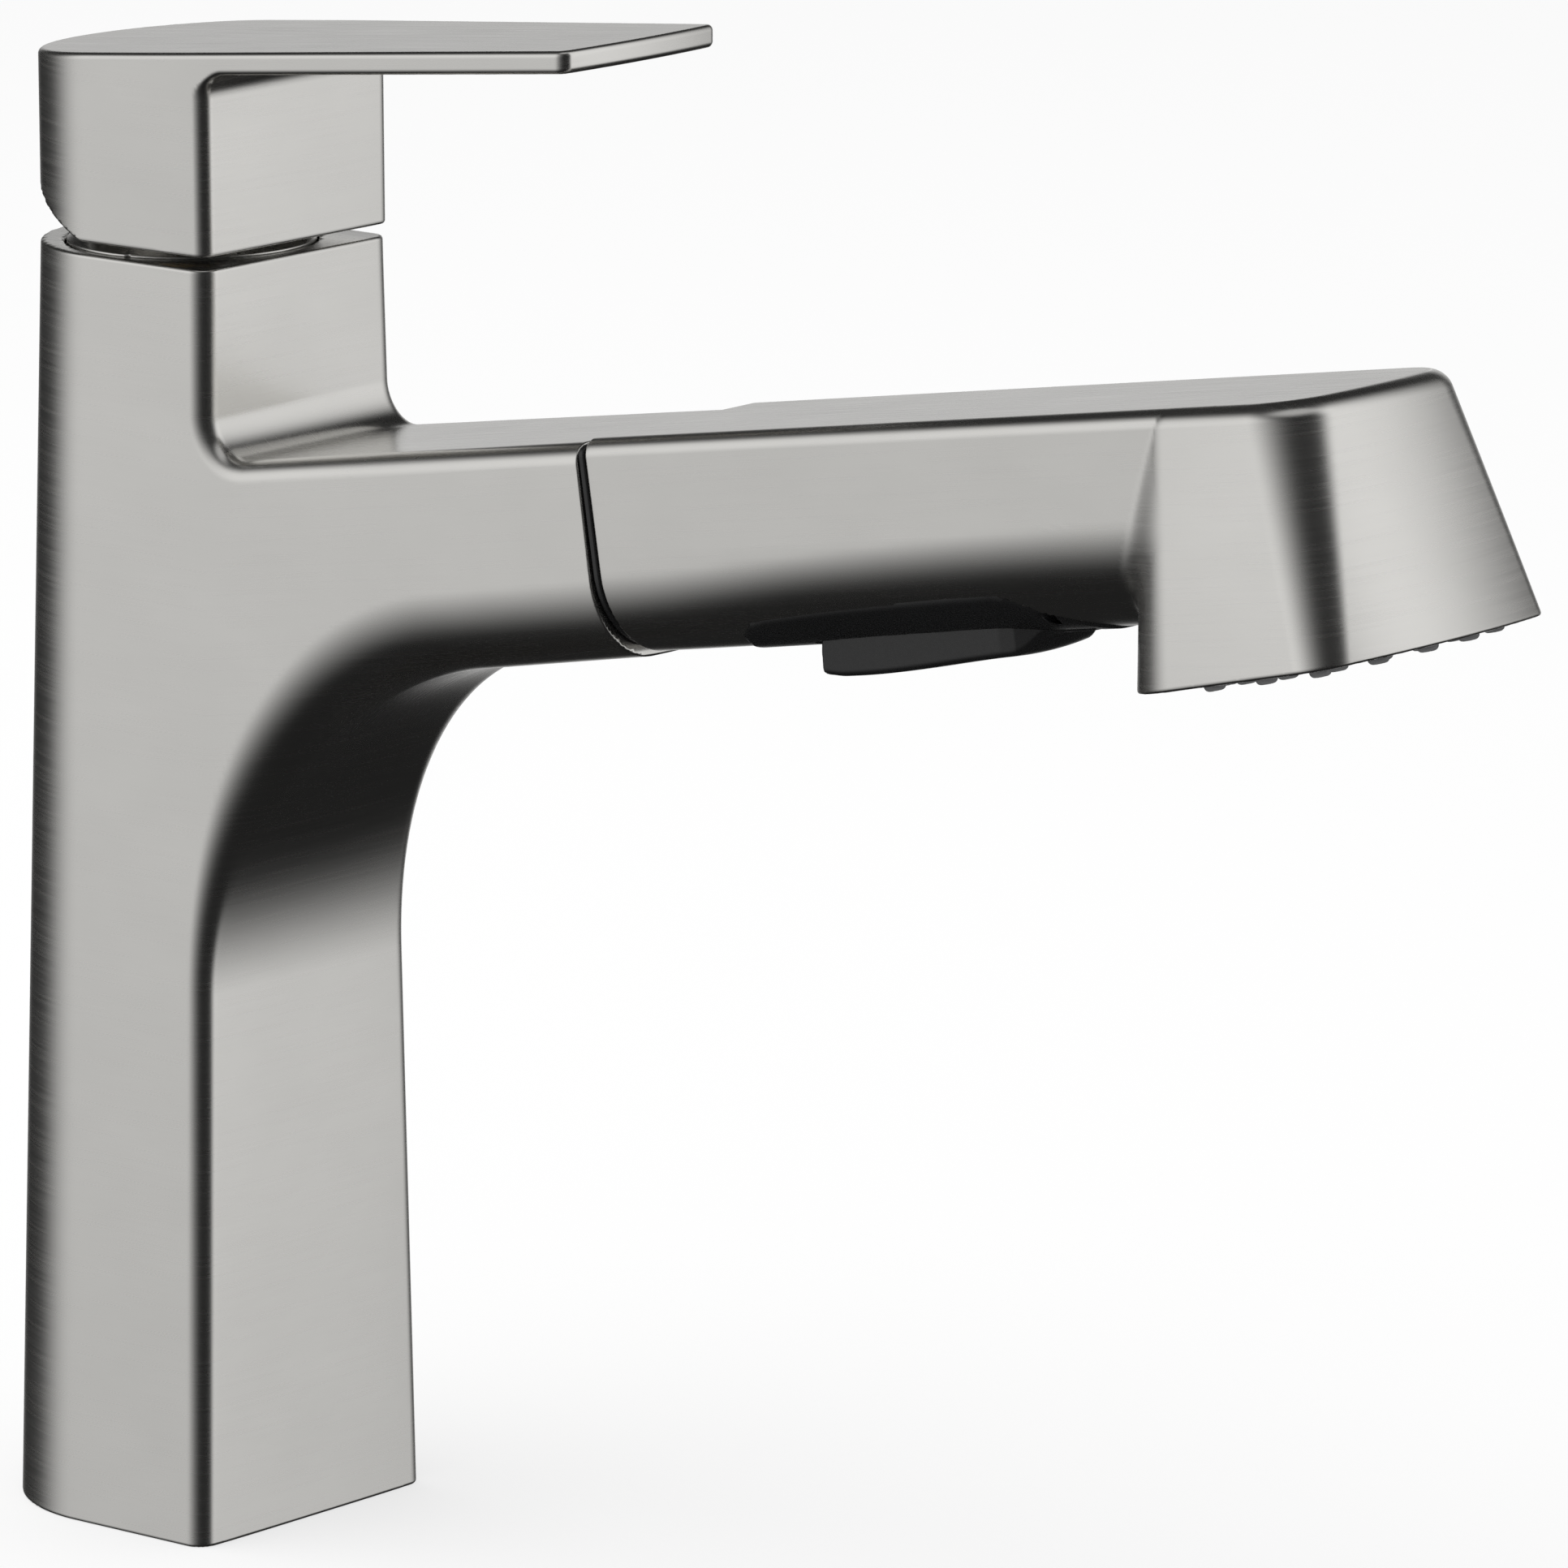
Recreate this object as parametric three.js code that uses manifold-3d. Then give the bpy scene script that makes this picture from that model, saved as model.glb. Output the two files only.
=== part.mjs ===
// Single-handle kitchen faucet with a pull-out spray wand.
// Millimetres, +Z up. The origin lies on the deck plane, on the axis of the mixing cartridge.
// +X is the direction of the spout and -Y is the side on the user's left hand.
import * as THREE from 'three';
import { LoftGeometry } from 'three/addons/geometries/LoftGeometry.js';
import { mergeVertices } from 'three/addons/utils/BufferGeometryUtils.js';
import Module from 'manifold-3d';

const wasm = await Module();
wasm.setup();

// ---------- Driving dimensions ----------
const FIT = 0.3; // gap between pieces that touch
const RUN = 0.1; // radial clearance of a pin in its hole
const SKIN = 0.03; // how far one cast volume stands proud of the one it grows out of
const CUT = 2; // how far a cutting tool runs past the face it cuts

// Column: D-shaped plan, leaning in towards the top
const COLUMN_HEIGHT = 196;
const COLUMN_FRONT = 21.8;
const BASE_HALF_WIDTH = 25.4;
const TOP_HALF_WIDTH = 20.9;
const BASE_BACK_CENTRE = -5;
const TOP_BACK_CENTRE = -2.6;
const COLUMN_EDGE = 2.6;
const COLUMN_WALL = 2.8;
const RIM_EDGE = 0.5;

// Arm: leans up from the column to the joint with the wand, which is the dock
const ARM_ANGLE = THREE.MathUtils.degToRad(8.92);
const DOCK_X = 97.45;
const DOCK_DROP = 33.13; // how far the arm's axis at the dock lies below the column's top
const DOCK_Z = COLUMN_HEIGHT - DOCK_DROP;
const ARM_RISE = 15.8; // the arm's top over its axis
const ARM_DROP = 17.2; // the arm's underside below its axis, at the dock
const ARM_HALF_WIDTH = 19.75;
const ARM_END_GAP = 1.7; // room for the dock collar's flange
const ARM_LOW_EDGE = 12;
const UNDERSIDE_ANGLE = THREE.MathUtils.degToRad(1.5); // the underside closes in on the arm's axis
const UNDERSIDE_BELLY = 0.6;
const UNDER_CURVE_RADIUS = 55.5;
const TOP_CURVE_RADIUS = 6;

// Cartridge seat in the column's top
const SEAT_DEPTH = 34.5;
const SEAT_Z = COLUMN_HEIGHT - SEAT_DEPTH;
const SEAT_FLOOR = 5.5;
const SEAT_RADIUS = 19.2;

// Tubes in the column
const TUBE_RADIUS = 3;
const TUBE_BORE = 2.2;
const TUBE_X = 4.5;
const TUBE_Y = 10;
const HOSE_RADIUS = 5.5;
const HOSE_X = -10;
const HOSE_BEND = 34;
const HOSE_CLEARANCE = 2.5;

// Base
const GASKET_HEIGHT = 1.6;
const GASKET_WIDTH = 3;
const PLATE_THICKNESS = 6;
const SCREW_RADIUS = 1.6;
const SCREW_HEAD_RADIUS = 2.4;
const SCREW_HEAD_HEIGHT = 1.4;
const SCREW_LENGTH = 14;
const BOSS_RADIUS = 3.6;
const BOSS_HEIGHT = 14;
const FRONT_SCREW_X = 12.3;
const REAR_SCREW_X = -21.4;
const STUD_HOLE_RADIUS = 3.2;
const STUD_X = 11;
const STUD_Y = -11;
const FITTING_HEIGHT = 12;
const FITTING_RADIUS = 4.9;

// Cartridge stack, from the seat up
const PORT_SEAL_HEIGHT = 1.5;
const DISC_DROP = 28.4; // how far the fixed disc's seat lies below the column's top
const FIXED_DISC_HEIGHT = 3.5;
const MOVING_DISC_HEIGHT = 3.5;
const DISC_RADIUS = 16.2;
const MOVING_DISC_RADIUS = 11.8;
const DISC_PORT_RADIUS = 2.4;
const MIXING_RECESS = 7.5; // half width of the recess under the moving disc
const MIXING_DEPTH = 1.8;
const CARRIER_HEIGHT = 5.5;
const HOUSING_WALL = 2.4;
const ROTOR_RADIUS = 16.2;
const ROTOR_NECK_RADIUS = 9.6;
const ROTOR_FLANGE_HEIGHT = 3;
const BONNET_NUT_HEIGHT = 5.4;
const BONNET_WALL = 3;
const TILT_AXIS_DROP = 6;
const TILT_AXIS_Z = COLUMN_HEIGHT - TILT_AXIS_DROP;
const STEM_HALF = 3.4;
const STEM_TIP_DROP = 11;
const STEM_HEAD_ROOM = 1;
const STEM_SLOT_REACH = 6.6;
const STEM_PIN_RADIUS = 1.5;

// Handle: block and flat lever in one casting
const HANDLE_GAP = 1.9;
const BLOCK_HALF_WIDTH = 21.1;
const BLOCK_FRONT = 22;
const BLOCK_BACK_CENTRE = -2.2;
const BLOCK_EDGE = 2.2;
const LEVER_ANGLE = THREE.MathUtils.degToRad(5.34);
const LEVER_RISE = 30.8; // the lever's top plane over the column's top, on the cartridge axis
const LEVER_THICKNESS = 3.4;
const LEVER_END_X = 91;
const LEVER_END_HALF = 17;
const LEVER_END_RADIUS = 120;
const LEVER_EDGE = 0.8;
const LEVER_CORNER = 1.6;
const LEVER_FILLET = 3.8;
const BACK_CUT_X = -3.8;
const BACK_CUT_ANGLE = THREE.MathUtils.degToRad(24.2);
const HANDLE_CAVITY_RADIUS = 19.35;
const HANDLE_CROWN = 12.8; // solid metal between the cavity and the lever's top plane
const HANDLE_HUB_RADIUS = 7.2;
const HANDLE_HUB_HEIGHT = 10.5;
const SET_SCREW_RADIUS = 2;
const SET_SCREW_RISE = 5; // over the hub's lower end
const SET_SCREW_PLUG = 2;

// Wand: its sections lie across the arm's axis
const WAND_HALF_WIDTH = 20.35;
const WAND_HALF_HEIGHT = 16.4;
const WAND_TOP_EDGE = 2.6;
const WAND_UNDERSIDE_ANGLE = THREE.MathUtils.degToRad(0.4);
const WAND_LOW_EDGE_BACK = 11.5;
const WAND_LOW_EDGE_FRONT = 13;
const WAND_BELLY = 0.8;
const WAND_WALL = 2.2;
const WAND_END = 112; // how far the wand's straight part reaches into the head

// Spray head
const HEAD_BACK_TOP = 106;
const HEAD_BACK_LOW = 100.1;
const HEAD_NOSE_TOP = 134;
const HEAD_NOSE_LOW = 141.4;
const HEAD_REAR_HALF = 24; // half widths at the spray face, at the back and at the nose
const HEAD_NOSE_HALF = 27;
const HEAD_DROP = 23.8; // how far the head's back edge lies below the arm's axis
const HEAD_FACE_ANGLE = THREE.MathUtils.degToRad(4.77); // the spray face tips forward from the arm's axis
const HEAD_CORNER_TOP = 10;
const HEAD_CORNER_LOW = 4.5;
const HEAD_FRONT_RADIUS = 80;
const HEAD_BACK_CORNER = 2;

// Dock
const COLLAR_RECESS = 0.9;
const SOCKET_RADIUS = 9.9;
const SOCKET_DEPTH = 25;
const SOCKET_WALL = 2.3;
const ARM_BORE_DEPTH = 46;
const NECK_CLEARANCE = 0.4;
const NECK_LENGTH = 20;
const NECK_REACH = 11; // how far the neck reaches into the wand
const NECK_BORE = 6;
const SCREEN_DEPTH = 3; // of the inlet screen in the neck
const SCREEN_THICKNESS = 1;
const CHECK_VALVE_LENGTH = 10;
const NUT_RADIUS = 8.4;
const NUT_LENGTH = 13;
const GUIDE_LENGTH = 6;
const HOSE_PULL = 450;

// Switch on the wand's underside, along the arm's axis from the dock
const PANEL_SIDE = [ // half the panel's plan: [distance along the arm's axis, half width]
  [19.4, 11],
  [21.2, 14.8],
  [24.3, 16.7],
  [27, 17.1],
  [67.6, 15.8],
  [69.8, 15],
  [72.8, 12.6],
  [77, 9.9],
  [82, 8],
  [84, 5.5],
];
const TRIGGER_START = 31.2;
const TRIGGER_END = 80.3;
const TRIGGER_HALF_WIDTH = 9;
const TRIGGER_TAPER_START = 66;
const TRIGGER_HINGE_HALF = 6;
const TRIGGER_DROP = 4.2;
const TRIGGER_PAD = 25; // length of the pad that the finger presses
const TRIGGER_PIN_S = 77;
const TRIGGER_PIN_H = -13.4;
const TRIGGER_PIN_RADIUS = 1;
const SPOOL_S = 58;
const SPOOL_RADIUS = 3.2;
const SPRING_S = 39;
const SPRING_RADIUS = 2.4;
const SPRING_WIRE = 0.25;
const SPRING_TURNS = 2.5;
const DIVERTER_LIFT = 5; // room between the trigger and the diverter
const DIVERTER_HEIGHT = 14;
const DIVERTER_HALF_WIDTH = 8;
const DIVERTER_END_WALL = 5;
const WATERWAY_BORE = 3;
const WATERWAY_WALL = 1.6;
const WATERWAY_RISE = 8; // of the waterway over the diverter's floor

// Spray face
const FACE_RECESS = 0.9;
const FACE_THICKNESS = 2.5;
const MAT_THICKNESS = 1.6;
const CHAMBER_HEIGHT = 6;
const NUB_RADIUS = 1.6;
const NUB_REACH = 1.1;
const NUB_RINGS = [ // rings that follow the head's outline
  { inset: 6.3, count: 12, first: 0 },
  { inset: 10.8, count: 10, first: 0.5 },
];
const AERATOR_RADIUS = 6;
const CHAMBER_INSET = 2.2;
const FACE_SIDE_ROOM = 0.9; // the head closes in above its rim
const FACE_CORNER = 2.5;
const FACE_BACK_ROOM = 0.8; // the head's back wall leans in over the face plates

// ---------- Materials ----------
const metal = (color, roughness) => new THREE.MeshStandardMaterial({ color, roughness, metalness: 1 });
const matt = (color, roughness) => new THREE.MeshStandardMaterial({ color, roughness, metalness: 0 });
const MATERIALS = {
  brushed: metal(0xb3b0aa, 0.32),
  steel: metal(0xc4c4c4, 0.3),
  brass: metal(0xb08d4a, 0.35),
  black: matt(0x1c1c1d, 0.45),
  grey: matt(0x4a4a4c, 0.5),
  white: matt(0xd9d8d2, 0.5),
  ceramic: matt(0xe9e6df, 0.25),
  rubber: matt(0x242425, 0.8),
  hose: matt(0x3a3b3d, 0.55),
};

// ---------- Solids ----------
// A closed mesh as a solid, turned so that its faces point out
function solid(geometry) {
  const bare = new THREE.BufferGeometry().copy(geometry);
  bare.deleteAttribute('normal');
  bare.deleteAttribute('uv');
  const merged = mergeVertices(bare, 1e-4);
  const points = Float32Array.from(merged.attributes.position.array);
  const corners = Array.from(merged.index.array);
  const faces = [];
  for (let i = 0; i < corners.length; i += 3) {
    const [a, b, c] = corners.slice(i, i + 3);
    if (a !== b && b !== c && c !== a) faces.push([a, b, c]);
  }
  const at = (i) => new THREE.Vector3().fromArray(points, 3 * i);
  const volume = faces.reduce((sum, [a, b, c]) => sum + at(a).dot(at(b).cross(at(c))), 0);
  const ordered = volume < 0 ? faces.map(([a, b, c]) => [a, c, b]) : faces;
  const triVerts = Uint32Array.from(ordered.flat());
  return new wasm.Manifold(new wasm.Mesh({ numProp: 3, vertProperties: points, triVerts }));
}

function geometryOf(body) {
  const mesh = body.getMesh();
  const geometry = new THREE.BufferGeometry();
  geometry.setAttribute('position', new THREE.BufferAttribute(mesh.vertProperties, 3));
  geometry.setIndex(new THREE.BufferAttribute(mesh.triVerts, 1));
  return geometry;
}

const join = (first, ...others) => others.reduce((sum, next) => sum.add(next), first);
const cut = (first, ...tools) => tools.reduce((rest, tool) => rest.subtract(tool), first);

// A round solid about Z, from [radius, height] corners in a closed ring
function revolve(corners, sides = 24) {
  const ring = [...corners, corners[0]].map(([radius, height]) => new THREE.Vector2(radius, height));
  return new THREE.LatheGeometry(ring, sides).rotateX(Math.PI / 2);
}

const cylinder = (radius, low, high, sides = 24) =>
  new THREE.CylinderGeometry(radius, radius, high - low, sides)
    .rotateX(Math.PI / 2)
    .translate(0, 0, (low + high) / 2);

const tube = (outer, inner, low, high, sides = 24) =>
  revolve([[inner, low], [outer, low], [outer, high], [inner, high]], sides);

const box = (x0, x1, y0, y1, z0, z1) =>
  new THREE.BoxGeometry(x1 - x0, y1 - y0, z1 - z0)
    .translate((x0 + x1) / 2, (y0 + y1) / 2, (z0 + z1) / 2);

// Turns a geometry made about +Z so that its axis runs along +X
const alongX = (geometry) => geometry.rotateY(Math.PI / 2);
// Turns a geometry made about +Z so that its axis runs along +Y
const alongY = (geometry) => geometry.rotateX(-Math.PI / 2);

const loft = (sections) => new LoftGeometry(sections, { capStart: true, capEnd: true });

// A plate of an [x, z] outline, centred on Y, with its edges rounded off
function sidePlate(outline, halfWidth, edge = 0) {
  const shape = outline instanceof THREE.Shape
    ? outline
    : new THREE.Shape(outline.map(([x, z]) => new THREE.Vector2(x, z)));
  const depth = 2 * (halfWidth - edge);
  const options = {
    depth,
    curveSegments: 10,
    bevelEnabled: edge > 0,
    bevelSize: edge,
    bevelThickness: edge,
    bevelOffset: -edge,
    bevelSegments: 2,
  };
  return new THREE.ExtrudeGeometry(shape, options).translate(0, 0, -depth / 2).rotateX(Math.PI / 2);
}

// ---------- Outlines ----------
function arc(centreX, centreY, radius, from, to, steps) {
  const points = [];
  for (let i = 0; i <= steps; i += 1) {
    const angle = from + ((to - from) * i) / steps;
    points.push(new THREE.Vector2(centreX + radius * Math.cos(angle), centreY + radius * Math.sin(angle)));
  }
  return points;
}

// Twelve points round a circle
const ringArc = (radius) => arc(0, 0, radius, 0, 2 * Math.PI * (11 / 12), 11);
const mirrored = (points) => points.map((p) => new THREE.Vector2(p.x, -p.y)).reverse();
const lifted = (outline, z) => outline.map((p) => new THREE.Vector3(p.x, p.y, z));

// D-shaped plan: flat front with rounded corners, half-round back
function dPlan(front, half, backCentre, edge) {
  const corner = arc(front - edge, half - edge, edge, 0, Math.PI / 2, 3);
  const back = arc(backCentre, 0, half, Math.PI / 2, 1.5 * Math.PI, 20);
  return [...corner, ...back, ...mirrored(corner)];
}

// Plan of the head: flat back, sides that spread towards the nose, full front
function headPlan(back, nose, rearHalf, noseHalf, corner) {
  const front = nose - HEAD_FRONT_RADIUS;
  const spread = (noseHalf - rearHalf) / (nose - back);
  const lean = Math.atan(spread);
  // The corner's centre is on the line inside the side and on the circle inside the front
  const sideY = (x, inside) => rearHalf + (x - back) * spread - inside / Math.cos(lean);
  const start = sideY(front, corner);
  const reach = HEAD_FRONT_RADIUS - corner;
  const root = Math.sqrt(reach ** 2 * (1 + spread ** 2) - start ** 2);
  const cornerX = front + (root - start * spread) / (1 + spread ** 2);
  const cornerY = sideY(cornerX, corner);
  const meet = Math.atan2(cornerY, cornerX - front);
  const sideTurn = Math.PI / 2 + lean;
  const rearX = back + HEAD_BACK_CORNER;
  const side = [
    ...arc(front, 0, HEAD_FRONT_RADIUS, meet / 4, meet, 3),
    ...arc(cornerX, cornerY, corner, meet, sideTurn, 4).slice(1),
    ...arc(rearX, sideY(rearX, HEAD_BACK_CORNER), HEAD_BACK_CORNER, sideTurn, Math.PI, 2),
  ];
  return [new THREE.Vector2(nose, 0), ...side, ...mirrored(side)];
}

// Section of the arm or wand as [y, height] points
function barSection(half, top, bottom, topEdge, lowEdge, belly) {
  const low = arc(half - lowEdge, bottom + belly + lowEdge, lowEdge, -Math.PI / 2, 0, 6);
  const high = arc(half - topEdge, top - topEdge, topEdge, 0, Math.PI / 2, 3);
  const right = [...low, ...high];
  const left = right.map((p) => new THREE.Vector2(-p.x, p.y)).reverse();
  return [new THREE.Vector2(0, bottom), ...right, ...left];
}

// ---------- Shared places ----------
const cosArm = Math.cos(ARM_ANGLE);
const sinArm = Math.sin(ARM_ANGLE);
const armPoint = (s, h) => [DOCK_X + s * cosArm - h * sinArm, DOCK_Z + s * sinArm + h * cosArm];
const heightShare = (z) => z / COLUMN_HEIGHT;
const sideLean = (BASE_HALF_WIDTH - TOP_HALF_WIDTH) / COLUMN_HEIGHT;
const columnHalf = (z) => BASE_HALF_WIDTH - sideLean * z;
const backCentre = (z) => BASE_BACK_CENTRE + (TOP_BACK_CENTRE - BASE_BACK_CENTRE) * heightShare(z);
const armTaper = (columnHalf(DOCK_Z) - ARM_HALF_WIDTH) / (DOCK_X - COLUMN_FRONT);
const castHalf = (x, z) => columnHalf(z) - armTaper * Math.max(0, x - COLUMN_FRONT);

const columnPlan = (z, inset, edge) =>
  lifted(dPlan(COLUMN_FRONT - inset, columnHalf(z) - inset, backCentre(z), edge), z);

const wandBottom = (s) => -WAND_HALF_HEIGHT + s * Math.tan(WAND_UNDERSIDE_ANGLE);
const wandLowEdge = (s) =>
  WAND_LOW_EDGE_BACK + (WAND_LOW_EDGE_FRONT - WAND_LOW_EDGE_BACK) * THREE.MathUtils.clamp(s / WAND_END, 0, 1);
const faceLine = (s) => -HEAD_DROP + (s - HEAD_BACK_LOW) * Math.tan(HEAD_FACE_ANGLE);

// ---------- Spout body ----------
function columnSolid() {
  return solid(loft([
    columnPlan(0, RIM_EDGE, COLUMN_EDGE),
    columnPlan(RIM_EDGE, 0, COLUMN_EDGE),
    columnPlan(COLUMN_HEIGHT - RIM_EDGE, 0, COLUMN_EDGE),
    columnPlan(COLUMN_HEIGHT, RIM_EDGE, COLUMN_EDGE),
  ]));
}

// One section of the arm, standing on the underside point (x, z) and turned by the given lean
function armStation(x, z, lean, depth, lowEdge) {
  const half = castHalf(x, z);
  return barSection(half, depth, 0, COLUMN_EDGE, lowEdge, UNDERSIDE_BELLY).map((p) => {
    const px = x - p.y * Math.sin(lean);
    const pz = z + p.y * Math.cos(lean);
    const spread = castHalf(px, pz) / half;
    return new THREE.Vector3(px, p.x * spread + Math.sign(p.x) * SKIN, pz);
  });
}

// The arm, swept round the large curve under it and then straight to the dock
function armSolid() {
  const lineAngle = ARM_ANGLE + UNDERSIDE_ANGLE;
  const [endX, endZ] = armPoint(-ARM_END_GAP, -ARM_DROP);
  const centreX = COLUMN_FRONT + UNDER_CURVE_RADIUS;
  const offset = (endX - centreX) * Math.sin(lineAngle);
  const centreZ = endZ - (UNDER_CURVE_RADIUS + offset) / Math.cos(lineAngle);
  const topAt = (x) => armPoint(0, ARM_RISE)[1]
    + (x - armPoint(0, ARM_RISE)[0]) * Math.tan(ARM_ANGLE);
  const sweep = Math.PI / 2 - lineAngle;
  const steps = 12;
  const stations = [];
  for (let i = 0; i <= steps; i += 1) {
    const turn = (sweep * i) / steps;
    const lean = Math.PI / 2 - turn;
    const sink = i === 0 ? SKIN * 10 : 0;
    const x = centreX - UNDER_CURVE_RADIUS * Math.cos(turn) - sink;
    const z = centreZ + UNDER_CURVE_RADIUS * Math.sin(turn);
    // Depth to the arm's top plane, or to the middle of the column where that comes first
    const toTop = (topAt(x) - z) / (Math.cos(lean) + Math.sin(lean) * Math.tan(ARM_ANGLE));
    const toMiddle = turn === 0 ? COLUMN_FRONT : x / Math.sin(lean);
    const depth = Math.min(toTop, toMiddle);
    stations.push(armStation(x, z, lean, depth, COLUMN_EDGE + (ARM_LOW_EDGE - COLUMN_EDGE) * (i / steps)));
  }
  stations.push(armStation(endX, endZ, ARM_ANGLE, ARM_RISE + ARM_DROP, ARM_LOW_EDGE));
  return solid(loft(stations));
}

// The small curve that fills the corner between the column's front and the arm's top
function topCurveSolid() {
  const slope = Math.tan(ARM_ANGLE);
  const [topX, topZ] = armPoint(0, ARM_RISE);
  const armTop = (x) => topZ + (x - topX) * slope;
  const r = TOP_CURVE_RADIUS;
  const centreX = COLUMN_FRONT + r;
  const centreZ = armTop(centreX) + r / Math.cos(ARM_ANGLE);
  const shape = new THREE.Shape();
  const inside = COLUMN_FRONT - 4 * COLUMN_EDGE;
  shape.moveTo(inside, armTop(inside) - 3 * COLUMN_EDGE);
  shape.lineTo(centreX + r, armTop(centreX + r) - 3 * COLUMN_EDGE);
  shape.lineTo(centreX + r, armTop(centreX + r) - SKIN);
  shape.absarc(centreX, centreZ, r + SKIN, -Math.PI / 2 + ARM_ANGLE, -Math.PI, true);
  shape.lineTo(COLUMN_FRONT - SKIN, centreZ + r);
  shape.lineTo(inside, centreZ + r);
  const half = castHalf(COLUMN_FRONT, armTop(COLUMN_FRONT));
  const geometry = sidePlate(shape, half, COLUMN_EDGE);
  const position = geometry.attributes.position;
  for (let i = 0; i < position.count; i += 1) {
    const spread = (castHalf(position.getX(i), position.getZ(i)) + SKIN / 2) / half;
    position.setY(i, position.getY(i) * spread);
  }
  return solid(geometry);
}

// Round bore along the arm's axis
const armBore = (radius, from, to) =>
  alongX(cylinder(radius, from, to)).rotateY(-ARM_ANGLE).translate(DOCK_X, 0, DOCK_Z);

const tubePlaces = [
  { name: 'hot', x: -TUBE_X, y: -TUBE_Y },
  { name: 'cold', x: -TUBE_X, y: TUBE_Y },
  { name: 'mixed', x: TUBE_X, y: TUBE_Y },
];
const screwPlaces = [
  { name: 'front', x: FRONT_SCREW_X },
  { name: 'rear', x: REAR_SCREW_X },
];
const plateBottom = GASKET_HEIGHT + FIT;
const plateTop = plateBottom + PLATE_THICKNESS;
const cavityTop = SEAT_Z - SEAT_FLOOR;

function spoutBody() {
  const bosses = [];
  for (const { x } of screwPlaces) {
    const wallSide = Math.sign(x - HOSE_X);
    const reach = wallSide > 0 ? COLUMN_FRONT - COLUMN_WALL / 2 : BASE_BACK_CENTRE - BASE_HALF_WIDTH + COLUMN_WALL;
    const low = plateTop + FIT;
    bosses.push(
      solid(cylinder(BOSS_RADIUS, low, low + BOSS_HEIGHT, 16).translate(x, 0, 0)),
      solid(box(Math.min(x, reach), Math.max(x, reach), -BOSS_RADIUS, BOSS_RADIUS, low, low + BOSS_HEIGHT)),
    );
  }
  const threads = screwPlaces.map(({ x }) =>
    solid(cylinder(SCREW_RADIUS + RUN, plateTop, plateTop + BOSS_HEIGHT - CUT, 12).translate(x, 0, 0)));
  const cavity = solid(loft([
    columnPlan(-CUT, COLUMN_WALL, COLUMN_EDGE),
    columnPlan(cavityTop, COLUMN_WALL, COLUMN_EDGE),
  ]));
  const ports = tubePlaces.map(({ x, y }) =>
    solid(cylinder(TUBE_RADIUS + FIT, cavityTop - CUT, SEAT_Z + CUT, 16).translate(x, y, 0)));
  const hollow = cut(cavity, ...bosses);
  const outer = join(columnSolid(), armSolid(), topCurveSolid());
  const bored = cut(
    outer,
    hollow,
    solid(cylinder(SEAT_RADIUS, SEAT_Z, COLUMN_HEIGHT + CUT, 48)),
    solid(armBore(SOCKET_RADIUS + SOCKET_WALL + FIT, -ARM_BORE_DEPTH, CUT)),
    solid(armBore(HOSE_RADIUS + HOSE_CLEARANCE, HOSE_X - DOCK_X + HOSE_BEND / 2, -ARM_BORE_DEPTH + CUT)),
    ...ports,
  );
  return cut(bored, ...threads);
}

// ---------- Base ----------
function deckGasket() {
  const ring = (inset, low, high) => solid(loft([
    lifted(dPlan(COLUMN_FRONT - inset, columnHalf(0) - inset, backCentre(0), COLUMN_EDGE), low),
    lifted(dPlan(COLUMN_FRONT - inset, columnHalf(0) - inset, backCentre(0), COLUMN_EDGE), high),
  ]));
  const outside = COLUMN_WALL + FIT + sideLean * GASKET_HEIGHT;
  return cut(ring(outside, 0, GASKET_HEIGHT), ring(outside + GASKET_WIDTH, -CUT, GASKET_HEIGHT + CUT));
}

function basePlate() {
  const inset = COLUMN_WALL + FIT + sideLean * plateTop;
  const plan = dPlan(COLUMN_FRONT - inset, columnHalf(0) - inset, backCentre(0), COLUMN_EDGE);
  const plate = solid(loft([lifted(plan, plateBottom), lifted(plan, plateTop)]));
  const hole = (x, y, radius, sides = 16) =>
    solid(cylinder(radius, plateBottom - CUT, plateTop + CUT, sides).translate(x, y, 0));
  return cut(
    plate,
    hole(HOSE_X, 0, HOSE_RADIUS + HOSE_CLEARANCE / 2, 24),
    hole(STUD_X, STUD_Y, STUD_HOLE_RADIUS),
    ...tubePlaces.map(({ x, y }) => hole(x, y, TUBE_RADIUS + FIT)),
    ...screwPlaces.map(({ x }) => hole(x, 0, SCREW_RADIUS + FIT)),
  );
}

// Cheese-head screw standing on its head, with a slot across it
function screw(headHeight, length) {
  const shank = cylinder(SCREW_RADIUS, headHeight - FIT, headHeight + length, 12);
  const head = cylinder(SCREW_HEAD_RADIUS, 0, headHeight, 16);
  const slot = box(-SCREW_HEAD_RADIUS - CUT, SCREW_HEAD_RADIUS + CUT, -FIT, FIT, -CUT, headHeight / 2);
  return cut(join(solid(head), solid(shank)), solid(slot));
}

// Compression fitting round the lower end of a tube, above the base plate
function inletFitting() {
  const low = plateTop + FIT;
  const bore = TUBE_RADIUS + FIT;
  const collar = cylinder(FITTING_RADIUS, low, low + FITTING_HEIGHT / 2, 6);
  const sleeve = cylinder(FITTING_RADIUS - 1, low + FITTING_HEIGHT / 2 - FIT, low + FITTING_HEIGHT, 16);
  return cut(join(solid(collar), solid(sleeve)), solid(cylinder(bore, low - CUT, low + FITTING_HEIGHT + CUT, 16)));
}

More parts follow.
